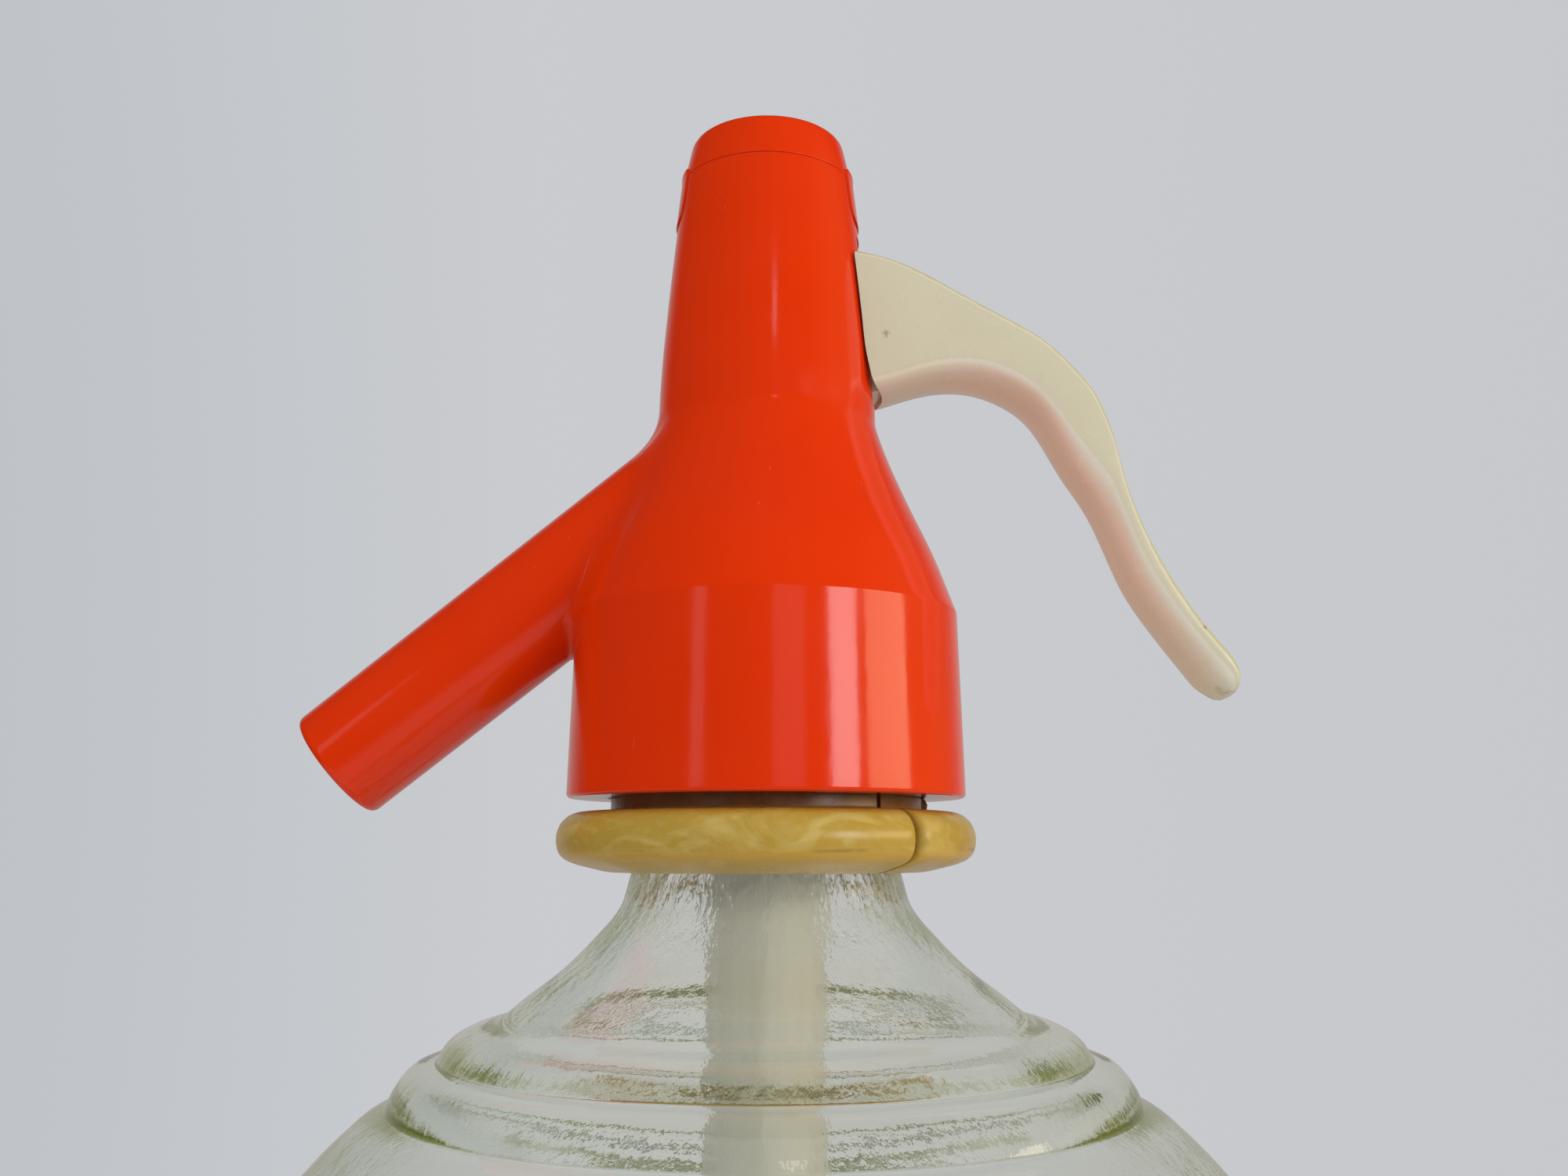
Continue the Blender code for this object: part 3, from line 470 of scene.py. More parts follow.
    def mixed_output(self, share, colour):
        """Mix the shader with a clear one by a share."""
        clear_shader = self.tree.nodes.new("ShaderNodeBsdfTransparent")
        clear_shader.inputs["Color"].default_value = (*colour, 1)
        mix = self.tree.nodes.new("ShaderNodeMixShader")
        self.put(share, mix.inputs["Fac"])
        self.tree.links.new(self.shader.outputs[0], mix.inputs[1])
        self.tree.links.new(clear_shader.outputs[0], mix.inputs[2])
        self.tree.links.new(mix.outputs[0], self.output.inputs["Surface"])
        return mix.outputs[0]

    def finish(self, colour=None, roughness=None, normal=None):
        """Link the results to the shader and give the material."""
        for value, socket in ((colour, "Base Color"), (roughness, "Roughness"), (normal, "Normal")):
            if value is not None:
                self.put(value, self.shader.inputs[socket])
        return self.material


def orange_material():
    """Glossy orange-red moulded plastic with faint clouding, fine scuffs and specks."""
    paint = Paint("orange_gloss", (0.76, 0.034, 0.0004), 0.12, IOR=1.42)
    cloud = paint.noise(55, 3.0)
    colour = paint.blend(cloud, (0.72, 0.028, 0.0003), (0.79, 0.038, 0.0006))
    scuff_place = paint.stretch(1.0, 1.0, 0.08)
    scuffs = paint.rise(paint.noise(2600, 2.0, 0.5, scuff_place), 0.66, 0.72)
    patch = paint.rise(paint.noise(140, 2.0), 0.55, 0.68)
    scuffs = paint.maths("MULTIPLY", scuffs, patch)
    roughness = paint.rise(paint.noise(90, 4.0), 0.2, 0.8, smooth=False)
    roughness = paint.maths("MULTIPLY_ADD", roughness, 0.08, 0.08)
    roughness = paint.maths("MULTIPLY_ADD", scuffs, 0.18, roughness)
    fine = paint.bump(paint.noise(420, 3.0), 0.00004, 0.5)
    normal = paint.bump(paint.noise(3200, 2.0), 0.000006, 0.6, fine)
    return paint.finish(colour, roughness, normal)


def ivory_material():
    """Satin ivory plastic: a pinkish beige underside that is partly its own tint and partly painted shade and
    bounced light, a painted highlight along its ridges, yellowed and worn on top.
    """
    paint = Paint("ivory_satin", (0.64, 0.60, 0.44), 0.34)
    normal = paint.tree.nodes.new("ShaderNodeNewGeometry").outputs["Normal"]
    below = paint.vector("DOT_PRODUCT", normal, (-0.72, 0.0, -0.69))
    side = paint.maths("ABSOLUTE", paint.parts_of(normal)[1])
    y = paint.parts_of()[1]
    middle = paint.rise(paint.maths("ABSOLUTE", y), 0.0050, 0.0012)
    cloud = paint.noise(90, 4.0)
    colour = paint.blend(cloud, (0.60, 0.565, 0.41), (0.68, 0.64, 0.48))
    # Painted shade and bounced orange light, partly the plastic's own tint: the underside's colour follows which way
    # the surface faces, pinker and darker at its middle.
    underside_tint_and_shade = paint.blend(middle, (0.86, 0.82, 0.66), (0.82, 0.72, 0.50))
    colour = paint.blend(paint.rise(below, 0.15, 0.8), colour, underside_tint_and_shade)
    # Painted highlight: a pale line where the side face meets the underside, in place of the lamp's glint on that
    # rounded edge.
    ridge = paint.maths("MULTIPLY", paint.rise(below, 0.10, 0.35), paint.rise(side, 0.55, 0.85))
    colour = paint.blend(paint.maths("MULTIPLY", ridge, 0.6), colour, (0.86, 0.84, 0.72))
    above = paint.vector("DOT_PRODUCT", normal, (0.75, 0.0, 0.66))
    ragged = paint.maths("MULTIPLY_ADD", paint.noise(420, 4.0, 0.6), 0.9, above)
    worn = paint.rise(ragged, 0.86, 1.10)
    colour = paint.blend(paint.maths("MULTIPLY", worn, 0.7), colour, (0.52, 0.46, 0.24))
    chipped = paint.maths("MULTIPLY", paint.rise(ragged, 0.70, 0.78), paint.rise(ragged, 0.90, 0.82))
    colour = paint.blend(paint.maths("MULTIPLY", chipped, 0.5), colour, (0.80, 0.78, 0.64))
    grime_and_shade = paint.rise(paint.noise(700, 5.0, 0.7), 0.64, 0.74)
    colour = paint.blend(paint.maths("MULTIPLY", grime_and_shade, 0.25), colour, (0.22, 0.13, 0.05))
    dirt = paint.any_of([
        paint.spot((53.2, -2.5, 221.2), 1.6, 0.1, 1.2), paint.spot((52.2, 3.5, 220.2), 2.4, 0.1, 1.2),
        paint.streak((46.0, -5.6, 226.5), (50.8, -5.0, 221.2), 0.7, 0.2, 1.0),
        paint.spot((50.3, -5.8, 227.3), 0.35, 0.4), paint.spot((14.2, -6.0, 262.5), 0.6, 0.1, 1.4),
    ])
    colour = paint.blend(paint.maths("MULTIPLY", dirt, 0.55), colour, (0.16, 0.09, 0.03))
    roughness = paint.maths("MULTIPLY_ADD", cloud, 0.16, 0.18)
    roughness = paint.maths("MULTIPLY_ADD", worn, 0.25, roughness)
    rough = paint.bump(paint.maths("MULTIPLY", worn, paint.noise(500, 5.0, 0.7)), 0.0002, 0.6)
    return paint.finish(colour, roughness, paint.bump(paint.noise(900, 4.0), 0.00002, 0.5, rough))


def ochre_material():
    """Aged ochre plastic with cream streaks, an amber lower third lifted with painted light, and painted shade at
    the top under the skirt's rim.
    """
    paint = Paint("ochre_aged", (0.45, 0.32, 0.11), 0.36, Subsurface_Weight=0.08, Subsurface_Scale=0.0015)
    z = paint.parts_of()[2]
    warp = paint.noise(35, 3.0)
    place = paint.stretch(0.8, 0.8, 1.6)
    mottle = paint.rise(paint.noise(150, 5.0, 0.55, place, 1.4), 0.45, 0.70)
    fine = paint.rise(paint.noise(1100, 4.0, 0.6), 0.45, 0.75)
    colour = paint.blend(warp, (0.42, 0.255, 0.026), (0.51, 0.335, 0.048))
    colour = paint.blend(paint.maths("MULTIPLY", mottle, 0.75), colour, (0.60, 0.445, 0.115))
    colour = paint.blend(paint.maths("MULTIPLY", fine, 0.14), colour, (0.66, 0.55, 0.28))
    edge = paint.maths("MULTIPLY_ADD", paint.maths("SUBTRACT", warp, 0.5), 0.0012, z)
    # The lower third is a brighter amber: partly the collar's own amber tone, partly painted light that lifts the
    # shade on this downward-facing part.
    low = paint.rise(edge, 0.2028, 0.2010)
    colour = paint.blend(paint.maths("MULTIPLY", low, 0.85), colour, (0.60, 0.345, 0.055))
    line = paint.maths("MULTIPLY", paint.rise(edge, 0.2019, 0.2021), paint.rise(edge, 0.2024, 0.2022))
    broken = paint.rise(paint.noise(90, 4.0, 0.7), 0.46, 0.62)
    line = paint.maths("MULTIPLY", line, broken)
    colour = paint.blend(paint.maths("MULTIPLY", line, 0.5), colour, (0.16, 0.08, 0.02))
    top = paint.rise(z, 0.2056, 0.2064)
    colour = paint.blend(paint.maths("MULTIPLY", top, 0.5), colour, (0.46, 0.20, 0.03))
    # Painted shade: the flange top and the neck in the gap under the skirt's rim are darkened to a near-black brown.
    grime_and_shade = paint.rise(z, 0.2063, 0.2069)
    rim_shade_colour = paint.blend(paint.noise(400, 4.0, 0.7), (0.09, 0.022, 0.008), (0.30, 0.11, 0.03))
    colour = paint.blend(paint.maths("MULTIPLY", grime_and_shade, 0.92), colour, rim_shade_colour)
    roughness = paint.maths("MULTIPLY_ADD", mottle, 0.15, 0.26)
    normal = paint.bump(paint.noise(300, 5.0, 0.6), 0.00006, 0.5)
    return paint.finish(colour, roughness, normal)


def glass_material():
    """Clear pale-green glass with a faint waviness."""
    paint = Paint("siphon_glass", (1.0, 1.0, 1.0), 0.0, Transmission_Weight=1.0, IOR=1.5)
    wave = paint.noise(45, 2.0)
    normal = paint.bump(wave, 0.0012, 0.25)
    z = paint.parts_of()[2]
    neck = paint.rise(z, 0.1880, 0.1985)
    lines = paint.noise(800, 3.0, 0.6, paint.stretch(1.0, 1.0, 0.06))
    lines = paint.maths("MULTIPLY", lines, paint.maths("MULTIPLY_ADD", neck, 0.9, 0.1))
    normal = paint.bump(lines, 0.0005, 0.6, normal)
    speck = paint.rise(paint.noise(900, 3.0, 0.6), 0.72, 0.78)
    inner = paint.tree.nodes.new("ShaderNodeAttribute")
    inner.attribute_name = "inner_wall"
    roughness = paint.maths("MULTIPLY_ADD", inner.outputs["Fac"], 0.07, paint.maths("MULTIPLY", speck, 0.2))
    roughness = paint.maths("MULTIPLY_ADD", neck, 0.12, roughness)
    material = paint.finish(None, roughness, normal)
    volume = paint.tree.nodes.new("ShaderNodeVolumeAbsorption")
    volume.inputs["Color"].default_value = (0.62, 0.64, 0.22, 1)
    volume.inputs["Density"].default_value = 28.0
    paint.tree.links.new(volume.outputs[0], paint.output.inputs["Volume"])
    path = paint.tree.nodes.new("ShaderNodeLightPath")
    straight = paint.maths("MAXIMUM", path.outputs["Is Shadow Ray"], path.outputs["Is Diffuse Ray"])
    clear = paint.mixed_output(straight, (0.985, 0.99, 0.98))
    # Painted light: rays past nine bounces end in a pale-green glow, in place of the light lost inside the glass
    # walls.
    glow = paint.tree.nodes.new("ShaderNodeEmission")
    glow.inputs["Color"].default_value = (0.40, 0.44, 0.34, 1)
    mix = paint.tree.nodes.new("ShaderNodeMixShader")
    paint.put(paint.maths("GREATER_THAN", path.outputs["Ray Depth"], 9.5), mix.inputs["Fac"])
    paint.tree.links.new(clear, mix.inputs[1])
    paint.tree.links.new(glow.outputs[0], mix.inputs[2])
    paint.tree.links.new(mix.outputs[0], paint.output.inputs["Surface"])
    return material


def tube_material():
    """Milky frosted tube with soft lengthwise bands, partly seen through."""
    paint = Paint("milky_plastic", (0.50, 0.47, 0.38), 0.5)
    place = paint.stretch(1.0, 1.0, 0.02)
    bands = paint.noise(420, 3.0, 0.5, place)
    cloud = paint.noise(120, 4.0)
    colour = paint.blend(paint.rise(bands, 0.35, 0.65), (0.56, 0.535, 0.45), (0.70, 0.68, 0.61))
    colour = paint.blend(paint.maths("MULTIPLY", cloud, 0.4), colour, (0.66, 0.65, 0.59))
    dot = paint.spot((0.6, -6.6, 193.0), 0.3, 0.6)
    colour = paint.blend(dot, colour, (0.02, 0.02, 0.015))
    normal = paint.bump(paint.noise(800, 3.0), 0.00003, 0.5)
    material = paint.finish(colour, paint.maths("MULTIPLY_ADD", bands, 0.2, 0.4), normal)
    path = paint.tree.nodes.new("ShaderNodeLightPath")
    straight = paint.maths("MAXIMUM", path.outputs["Is Shadow Ray"], path.outputs["Is Diffuse Ray"])
    share = paint.maths("MULTIPLY_ADD", bands, 0.6, 0.1)
    paint.mixed_output(paint.maths("MAXIMUM", share, paint.maths("MULTIPLY", straight, 0.85)), (1.0, 1.0, 1.0))
    return material


def plain_material(name, dark, pale, roughness, scale, metallic=0.0, depth=0.00002, stretch=(1, 1, 1)):
    """A material with two close colours, grain at one scale and a light bump."""
    paint = Paint(name, dark, roughness, Metallic=metallic)
    place = paint.stretch(*stretch)
    grain = paint.noise(scale, 5.0, 0.6, place)
    colour = paint.blend(paint.rise(grain, 0.3, 0.7), dark, pale)
    normal = paint.bump(grain, depth, 0.6)
    return paint.finish(colour, paint.maths("MULTIPLY_ADD", grain, 0.25, roughness - 0.1), normal)


orange = orange_material()
ivory = ivory_material()
ochre = ochre_material()
glass = glass_material()
milky = tube_material()
nylon = plain_material("white_moulding", (0.66, 0.65, 0.60), (0.78, 0.77, 0.73), 0.42, 500)
rubber = plain_material("dark_seal", (0.030, 0.022, 0.018), (0.075, 0.055, 0.045), 0.62, 700)
brown = plain_material("brown_sleeve", (0.07, 0.028, 0.010), (0.20, 0.10, 0.04), 0.6, 600, depth=0.00006)
brass = plain_material("turned_brass", (0.55, 0.38, 0.13), (0.72, 0.54, 0.24), 0.3, 900, 1.0, stretch=(1, 1, 6))
steel = plain_material("spring_wire", (0.42, 0.42, 0.42), (0.62, 0.61, 0.59), 0.3, 900, 1.0)
SLOT_MATERIALS = {
    "clear_glass": glass, "orange_plastic": orange, "ivory_plastic": ivory, "ochre_plastic": ochre,
    "white_nylon": nylon, "milky_tube": milky, "dark_rubber": rubber, "brown_liner": brown,
    "brass": brass, "spring_steel": steel,
}


def dress(piece):
    """Give a piece the material of its slot."""
    piece.data.materials.clear()
    piece.data.materials.append(SLOT_MATERIALS[piece["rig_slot"]])
    return piece


for subpart in frame["record"]["subparts"]:
    node = nodes[subpart["node"]]
    for slot in node.material_slots:
        slot.material = SLOT_MATERIALS[subpart["material_slot"]]


# Glass bottle

bottle_line = fine_profile(half_section("bottle"), 0.0006, corner=40)
bottle_line = [(min(radius, cad_box[1].x), max(height, 0.0)) for radius, height in bottle_line]
bottle_mesh = turned_mesh("bottle_glass", bottle_line, False)
lip = max(range(len(bottle_line)), key=lambda index: bottle_line[index][1])
marks = bottle_mesh.attributes.new("inner_wall", "FLOAT", "POINT")
marks.data.foreach_set("value", [float(index < 1 + FINE * (lip - 1)) for index in range(len(bottle_mesh.vertices))])
dress(add_piece("bottle_glass", bottle_mesh, "siphon", "clear_glass", "bottle"))

tube_low, tube_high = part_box("dip_tube")
tube_line = fine_profile([(0.0056, tube_high.z), (0.0069, tube_high.z), (0.0069, tube_low.z), (0.0056, tube_low.z)],
                         0.0004, step=0.004, closed=True)
dress(add_piece("tube_milky", turned_mesh("tube_milky", tube_line, True, 96), "siphon", "milky_tube", "dip_tube"))


# Head: outer side, cavity, spout and their blend

outside = [point for point in half_section("head_body", -math.pi / 2)
           if point[0] > (0.0220 if point[1] < 0.2300 else 0.0100)]
outside.sort(key=lambda point: (-point[1], -point[0]))
outside[0] = (0.0105, SEAM - 0.00006)
head_top = outside[0][1]
cavity = [(SKIRT_BORE, SKIRT_LOW), (SKIRT_BORE, 0.2295), (0.0065, 0.2295), (0.0065, 0.2413), (CHAMBER, 0.2420)]


def head_fillet(corner_point):
    """Radius of each corner on the head's outer side."""
    if corner_point.y < SKIRT_LOW + 0.001:
        return 0.0004
    if corner_point.y > SEAM - 0.001:
        return 0.00012
    return 0.0006 if corner_point.y < SKIRT_TOP + 0.001 else 0.0045


ring = [(CHAMBER, head_top), *outside, *cavity]
head_line = fine_profile(ring, head_fillet, corner=11, step=0.0008, closed=True)
head_mesh = turned_mesh("head_shell", head_line, True)

spout_inner = placed(turned_mesh("bore", [(0, SPOUT_LENGTH + 0.002), (SPOUT_BORE, SPOUT_LENGTH + 0.002),
                                          (SPOUT_BORE, 0.001), (0, 0.001)], False, 64), SPOUT_START, SPOUT_ALONG)
slot_half = 0.0032
slot_line = [(0.0060, 0.2760), (0.0151, 0.2760), (0.0151, 0.2540), (0.0108, 0.2555),
             *reversed(arc_points(HINGE_X, HINGE_Z, 0.0021, 180, 265, 6)), (0.0087, 0.2595), (0.0060, 0.2595)]
slot_mesh = flat_solid("slot", slot_line, 2 * slot_half)


def tab_line(gap):
    """Outline of a cap tab as (y, z) points with rounded lower corners."""
    half = 0.0042 + gap
    foot = SEAM - 0.0056 - gap
    corner = half / 2
    return [*arc_points(corner - half, foot + corner, corner, 180, 270),
            *arc_points(half - corner, foot + corner, corner, 270, 360), (half, 0.2843), (-half, 0.2843)]


def tab_mesh(side, gap, near, far):
    """A straight prism through a tab's outline, from a near to a far distance on one side."""
    mesh = flat_solid("tab", tab_line(gap), far - near, "YZ")
    mesh.transform(Matrix.Translation((side * (near + far) / 2, 0, 0)))
    return mesh


head_cuts = [("DIFFERENCE", spout_inner), ("DIFFERENCE", slot_mesh)]
head_cuts += [("DIFFERENCE", tab_mesh(side, 0.0003, 0.0086, 0.0151)) for side in (-1, 1)]
head_mesh = solid_result(head_mesh, head_cuts)

spout_line = [(SPOUT_BORE, 0.004), (SPOUT_BORE, SPOUT_LENGTH), (SPOUT_TIP, SPOUT_LENGTH),
              (SPOUT_ROOT, 0.004)]
spout_line = fine_profile(spout_line, lambda p: 0.0009 if p.x > 0.005 else 0.0004, corner=38, step=0.0015,
                          closed=True)
spout_mesh = placed(turned_mesh("spout", spout_line, True, 96), SPOUT_START, SPOUT_ALONG)

side_line = sorted((point[1], point[0]) for point in fine_profile(outside, head_fillet, corner=11, step=0.0004))


def head_radius(height):
    """Outer radius of the head at a height."""
    if height <= side_line[0][0]:
        return side_line[0][1]
    for (low, inner), (high, outer) in zip(side_line, side_line[1:]):
        if low <= height <= high and high > low:
            return inner + (outer - inner) * (height - low) / (high - low)
    return side_line[-1][1]


def on_head(spot):
    """Move a point straight out or in to the head's surface."""
    flat = Vector((spot.x, spot.y, 0))
    scale = head_radius(spot.z) / flat.length
    return Vector((spot.x * scale, spot.y * scale, spot.z))


def head_normal(spot):
    """Outward normal of the head's surface at a point on it."""
    slope = (head_radius(spot.z + 0.0003) - head_radius(spot.z - 0.0003)) / 0.0006
    flat = Vector((spot.x, spot.y, 0)).normalized()
    return Vector((flat.x, flat.y, -slope)).normalized()


def spout_blend():
    """Smooth fillet strip between the spout's side and the head's surface."""
    up = Vector((0, 1, 0)).cross(SPOUT_ALONG)
    across = Vector((0, 1, 0))
    shape = bmesh.new()
    rows = []
    count = 120
    for index in range(count):
        angle = 2 * math.pi * index / count
        out = up * math.cos(angle) + across * math.sin(angle)
        taper = (SPOUT_TIP - SPOUT_ROOT) / SPOUT_LENGTH

        def on_spout(distance):
            return SPOUT_START + SPOUT_ALONG * distance + out * (SPOUT_ROOT + taper * distance)

        distance = SPOUT_LENGTH
        while distance > 0.002:
            spot = on_spout(distance)
            if Vector((spot.x, spot.y)).length < head_radius(spot.z):
                break
            distance -= 0.00005
        meet = on_head(on_spout(distance))
        lower = max(0.0, -math.cos(angle))
        reach = 0.0042 - 0.0026 * lower
        start = on_spout(distance + reach)
        normal = head_normal(meet)
        away = (out - normal * out.dot(normal)).normalized()
        end = on_head(meet + away * reach)
        away = (away - head_normal(end) * away.dot(head_normal(end))).normalized()
        one = start - SPOUT_ALONG * reach * 0.7
        two = end - away * reach * 0.7
        row = []
        spans = 14
        for step in range(spans + 1):
            t = step / spans
            spot = start * (1 - t)**3 + one * 3 * t * (1 - t)**2 + two * 3 * t**2 * (1 - t) + end * t**3
            row.append(shape.verts.new(spot))
        rows.append(row)
    for index in range(count):
        near, far = rows[index], rows[(index + 1) % count]
        for step in range(len(near) - 1):
            shape.faces.new((near[step], near[step + 1], far[step + 1], far[step]))
    bmesh.ops.recalc_face_normals(shape, faces=shape.faces)
    if sum((face.normal.dot(face.calc_center_median() - Vector((-0.02, 0, 0.236)))) for face in shape.faces) < 0:
        bmesh.ops.reverse_faces(shape, faces=shape.faces)
    mesh = bpy.data.meshes.new("blend")
    shape.to_mesh(mesh)
    shape.free()
    return mesh


dress(add_piece("head_shell", joined("head_shell", head_mesh, spout_mesh, spout_blend()),
                "siphon", "orange_plastic", "head_body"))


# Cap with its plug and two tabs

cap_line = [(0, 0.2891), (0.0093, 0.2891), (0.0105, SEAM), (0.0072, SEAM), (0.0072, 0.2780),
            (0.0061, 0.2780), (0.0061, 0.2870), (0, 0.2870)]
cap_mesh = turned_mesh("cap_shell", fine_profile(cap_line, lambda p: 0.0016 if p.y > 0.289 else 0.00012,
                                                 step=0.001), False)
grown = [(radius + 0.0002, height) for radius, height in outside if height > SKIRT_TOP]
tab_shape = turned_mesh("grown", fine_profile([(0, 0.2850), (grown[0][0], 0.2850), *grown, (0, grown[-1][1])],
                                              0.0004, corner=38, step=0.0008), False)
for side in (-1, 1):
    tab = solid_result(tab_mesh(side, 0, 0.0089, 0.0151), [("INTERSECT", tab_shape.copy())])
    cap_mesh = solid_result(cap_mesh, [("UNION", tab)])
dress(add_piece("cap_shell", cap_mesh, "siphon", "orange_plastic", "top_cap"))


# Press lever

LEVER_LONG, LEVER_TALL = 0.0547, 0.0545
LEVER_LOW = SEAM - 0.0103 - LEVER_TALL
TOP_SHARES = (
    (0.165, 1.007), (0.267, 0.985), (0.329, 0.958), (0.422, 0.903), (0.514, 0.850), (0.607, 0.794),
    (0.660, 0.741), (0.706, 0.688), (0.731, 0.635), (0.748, 0.582), (0.770, 0.479), (0.806, 0.374),
    (0.856, 0.273), (0.918, 0.174), (0.960, 0.123), (0.993, 0.073), (1.000, 0.048), (0.993, 0.024),
    (0.975, 0.014),
)
UNDER_SHARES = (
    (0.955, 0.030), (0.920, 0.078), (0.843, 0.182), (0.795, 0.257), (0.751, 0.360), (0.706, 0.462),
    (0.665, 0.523), (0.625, 0.600), (0.594, 0.653), (0.545, 0.694), (0.502, 0.714), (0.454, 0.728),
    (0.397, 0.730), (0.333, 0.719), (0.283, 0.702), (0.245, 0.690), (0.185, 0.678),
)


def even_line(points, count):
    """The same line with its points at even distances."""
    spots = [Vector(point) for point in points]
    reach = [0.0]
    for one, two in zip(spots, spots[1:]):
        reach.append(reach[-1] + (two - one).length)
    out = []
    at = 0
    for index in range(count + 1):
        target = reach[-1] * index / count
        while at < len(spots) - 2 and reach[at + 1] < target:
            at += 1
        share = (target - reach[at]) / (reach[at + 1] - reach[at])
        out.append(spots[at].lerp(spots[at + 1], min(1.0, share)))
    return out


def smoothed(line, passes):
    """A line with its small waves evened out; its ends stay."""
    for _ in range(passes):
        line = [line[0], *((a + b * 2 + c) / 4 for a, b, c in zip(line, line[1:], line[2:])), line[-1]]
    return line


def lever_section(height, half, low, high, crown, spans=8):
    """Section of the handle as (y, share of the height): oval lower corners and a crowned underside."""
    points = []
    for side, (wide, tall), at, start in ((1, low, 0, -90), (1, high, 1, 0), (-1, high, 1, 90), (-1, low, 0, 180)):
        for step in range(spans + 1):
            angle = math.radians(start + 90 * step / spans)
            rise = (tall if at == 0 else height - tall) + tall * math.sin(angle)
            points.append((side * (half - wide) + wide * math.cos(angle), rise))
    points += [(points[-1][0] * (1 - step / 6) + points[0][0] * step / 6, 0.0) for step in range(1, 6)]
    return [(y, (rise + crown * (y / half) ** 2 * max(0.0, 1 - rise / height)) / height) for y, rise in points]


def lever_mesh():
    """The handle as sections that follow its upper and lower lines to a rounded end."""
    lines = []
    count = 110
    for shares in (TOP_SHARES, (*UNDER_SHARES[::-1], TOP_SHARES[-1])):
        line = even_line(spline([(LEVER_LONG * a, LEVER_LOW + LEVER_TALL * b) for a, b in shares], 0.0004), count)
        lines.append(smoothed(line[:-8], 14) + line[-8:])
    shape = bmesh.new()
    rings = []
    end = lines[0][-1]
    for above, below in list(zip(*lines))[:-1]:
        height = (above - below).length
        away = ((above + below) / 2 - end).length
        near = min(1.0, away / 0.0045)
        half = 0.0060 * math.sqrt(1 - (1 - near) ** 2) ** 0.8
        rounder = max(0.0, min(1.0, (0.0420 - away) / 0.0160))
        fuller = 1 + min(0.0006 + 0.0005 * max(0.0, 1 - away / 0.012), 0.16 * height) / height
        low = (min(0.0016 + 0.0018 * rounder, 0.9 * half), min(0.0012 + 0.0022 * rounder, 0.58 * height))
        high = (min(0.0011 + 0.0006 * rounder, 0.9 * half), min(0.0010, 0.36 * height))
        ring = []
        for y, share in lever_section(height, half, low, high, min(0.0008, 0.1 * height)):
            spot = above.lerp(below, (1 - share) * fuller)
            ring.append(shape.verts.new((spot.x, y, spot.y)))
        rings.append(ring)
    size = len(rings[0])
    for near, far in zip(rings, rings[1:]):
        for index in range(size):
            onward = (index + 1) % size
            shape.faces.new((near[index], near[onward], far[onward], far[index]))
    tip = shape.verts.new((end.x, 0, end.y))
    for index in range(size):
        shape.faces.new((rings[-1][index], rings[-1][(index + 1) % size], tip))
    shape.faces.new(rings[0])
    bmesh.ops.triangulate(shape, faces=[face for face in shape.faces if len(face.verts) > 4])
    bmesh.ops.recalc_face_normals(shape, faces=shape.faces)
    mesh = bpy.data.meshes.new("lever_handle")
    shape.to_mesh(mesh)
    shape.free()
    return mesh


clear = [(radius + 0.0004 + 0.0006 * min(1.0, max(0.0, (0.2610 - height) / 0.006)), height)
         for radius, height in outside if height > SKIRT_TOP]
clear_mesh = turned_mesh("clear", fine_profile([(0, 0.2900), (clear[0][0], 0.2900), *clear, (0, clear[-1][1])],
                                               0.0004, corner=38, step=0.0008), False)
tongue = [*arc_points(HINGE_X, HINGE_Z, 0.0018, 180, 270, 6), (0.0144, 0.2567), (0.0144, 0.2714),
          (0.0108, 0.2697), (0.0090, 0.2677), *arc_points(0, 0.2660, 0.0017, 90, 270, 14),
          *reversed(arc_points(0.0080, 0.2633, 0.0010, 0, 90, 4))]
handle = solid_result(lever_mesh(), [("DIFFERENCE", clear_mesh),
                                     ("UNION", flat_solid("tongue", tongue, 0.0058))])
dress(add_piece("lever_handle", handle, "lever", "ivory_plastic", "lever"))


# Split collar with its thread

FLANGE_SHARES = ((0.36, 1.00), (0.77, 0.93), (0.93, 0.79), (1.00, 0.62), (1.00, 0.46), (0.95, 0.31),
                 (0.86, 0.22), (0.70, 0.15), (0.38, 0.07))
collar_line = [(COLLAR_BORE, COLLAR_HIGH), (COLLAR_NECK, COLLAR_HIGH), (COLLAR_NECK, FLANGE_TOP)]
collar_line += [(COLLAR_NECK + 0.0061 * a, COLLAR_LOW + 0.0068 * b) for a, b in FLANGE_SHARES]
collar_line += [(COLLAR_NECK, COLLAR_LOW), (COLLAR_BORE, COLLAR_LOW)]
collar_line = fine_profile(collar_line, 0.0003, corner=40, step=0.0005, closed=True)


def collar_mesh(start, end):
    """One half of the collar between two angles, its flange rounded off at both ends."""
    shape = bmesh.new()
    gap = 0.0003 / COLLAR_NECK
    first, last = start + gap, end - gap
    bends = [math.pi / 2 * step / 8 for step in range(9)]
    places = [(first + 0.045 * (1 - math.cos(bend)), 1 - 0.16 * (1 - math.sin(bend))) for bend in bends]
    places += [(first + 0.045 + (last - first - 0.09) * step / 90, 1.0) for step in range(1, 90)]
    places += [(last - 0.045 * (1 - math.cos(bend)), 1 - 0.16 * (1 - math.sin(bend))) for bend in reversed(bends)]
    rings = []
    for angle, shrink in places:
        ring = []
        for radius, height in collar_line:
            out = min(radius, COLLAR_NECK) + max(0.0, radius - COLLAR_NECK) * shrink
            ring.append(shape.verts.new((out * math.cos(angle), out * math.sin(angle), height)))
        rings.append(ring)
    count = len(collar_line)
    for near, far in zip(rings, rings[1:]):
        for index in range(count):
            onward = (index + 1) % count
            shape.faces.new((near[index], near[onward], far[onward], far[index]))
    shape.faces.new(rings[0])
    shape.faces.new(list(reversed(rings[-1])))
    bmesh.ops.recalc_face_normals(shape, faces=shape.faces)
    mesh = bpy.data.meshes.new("collar")
    shape.to_mesh(mesh)
    shape.free()
    return mesh


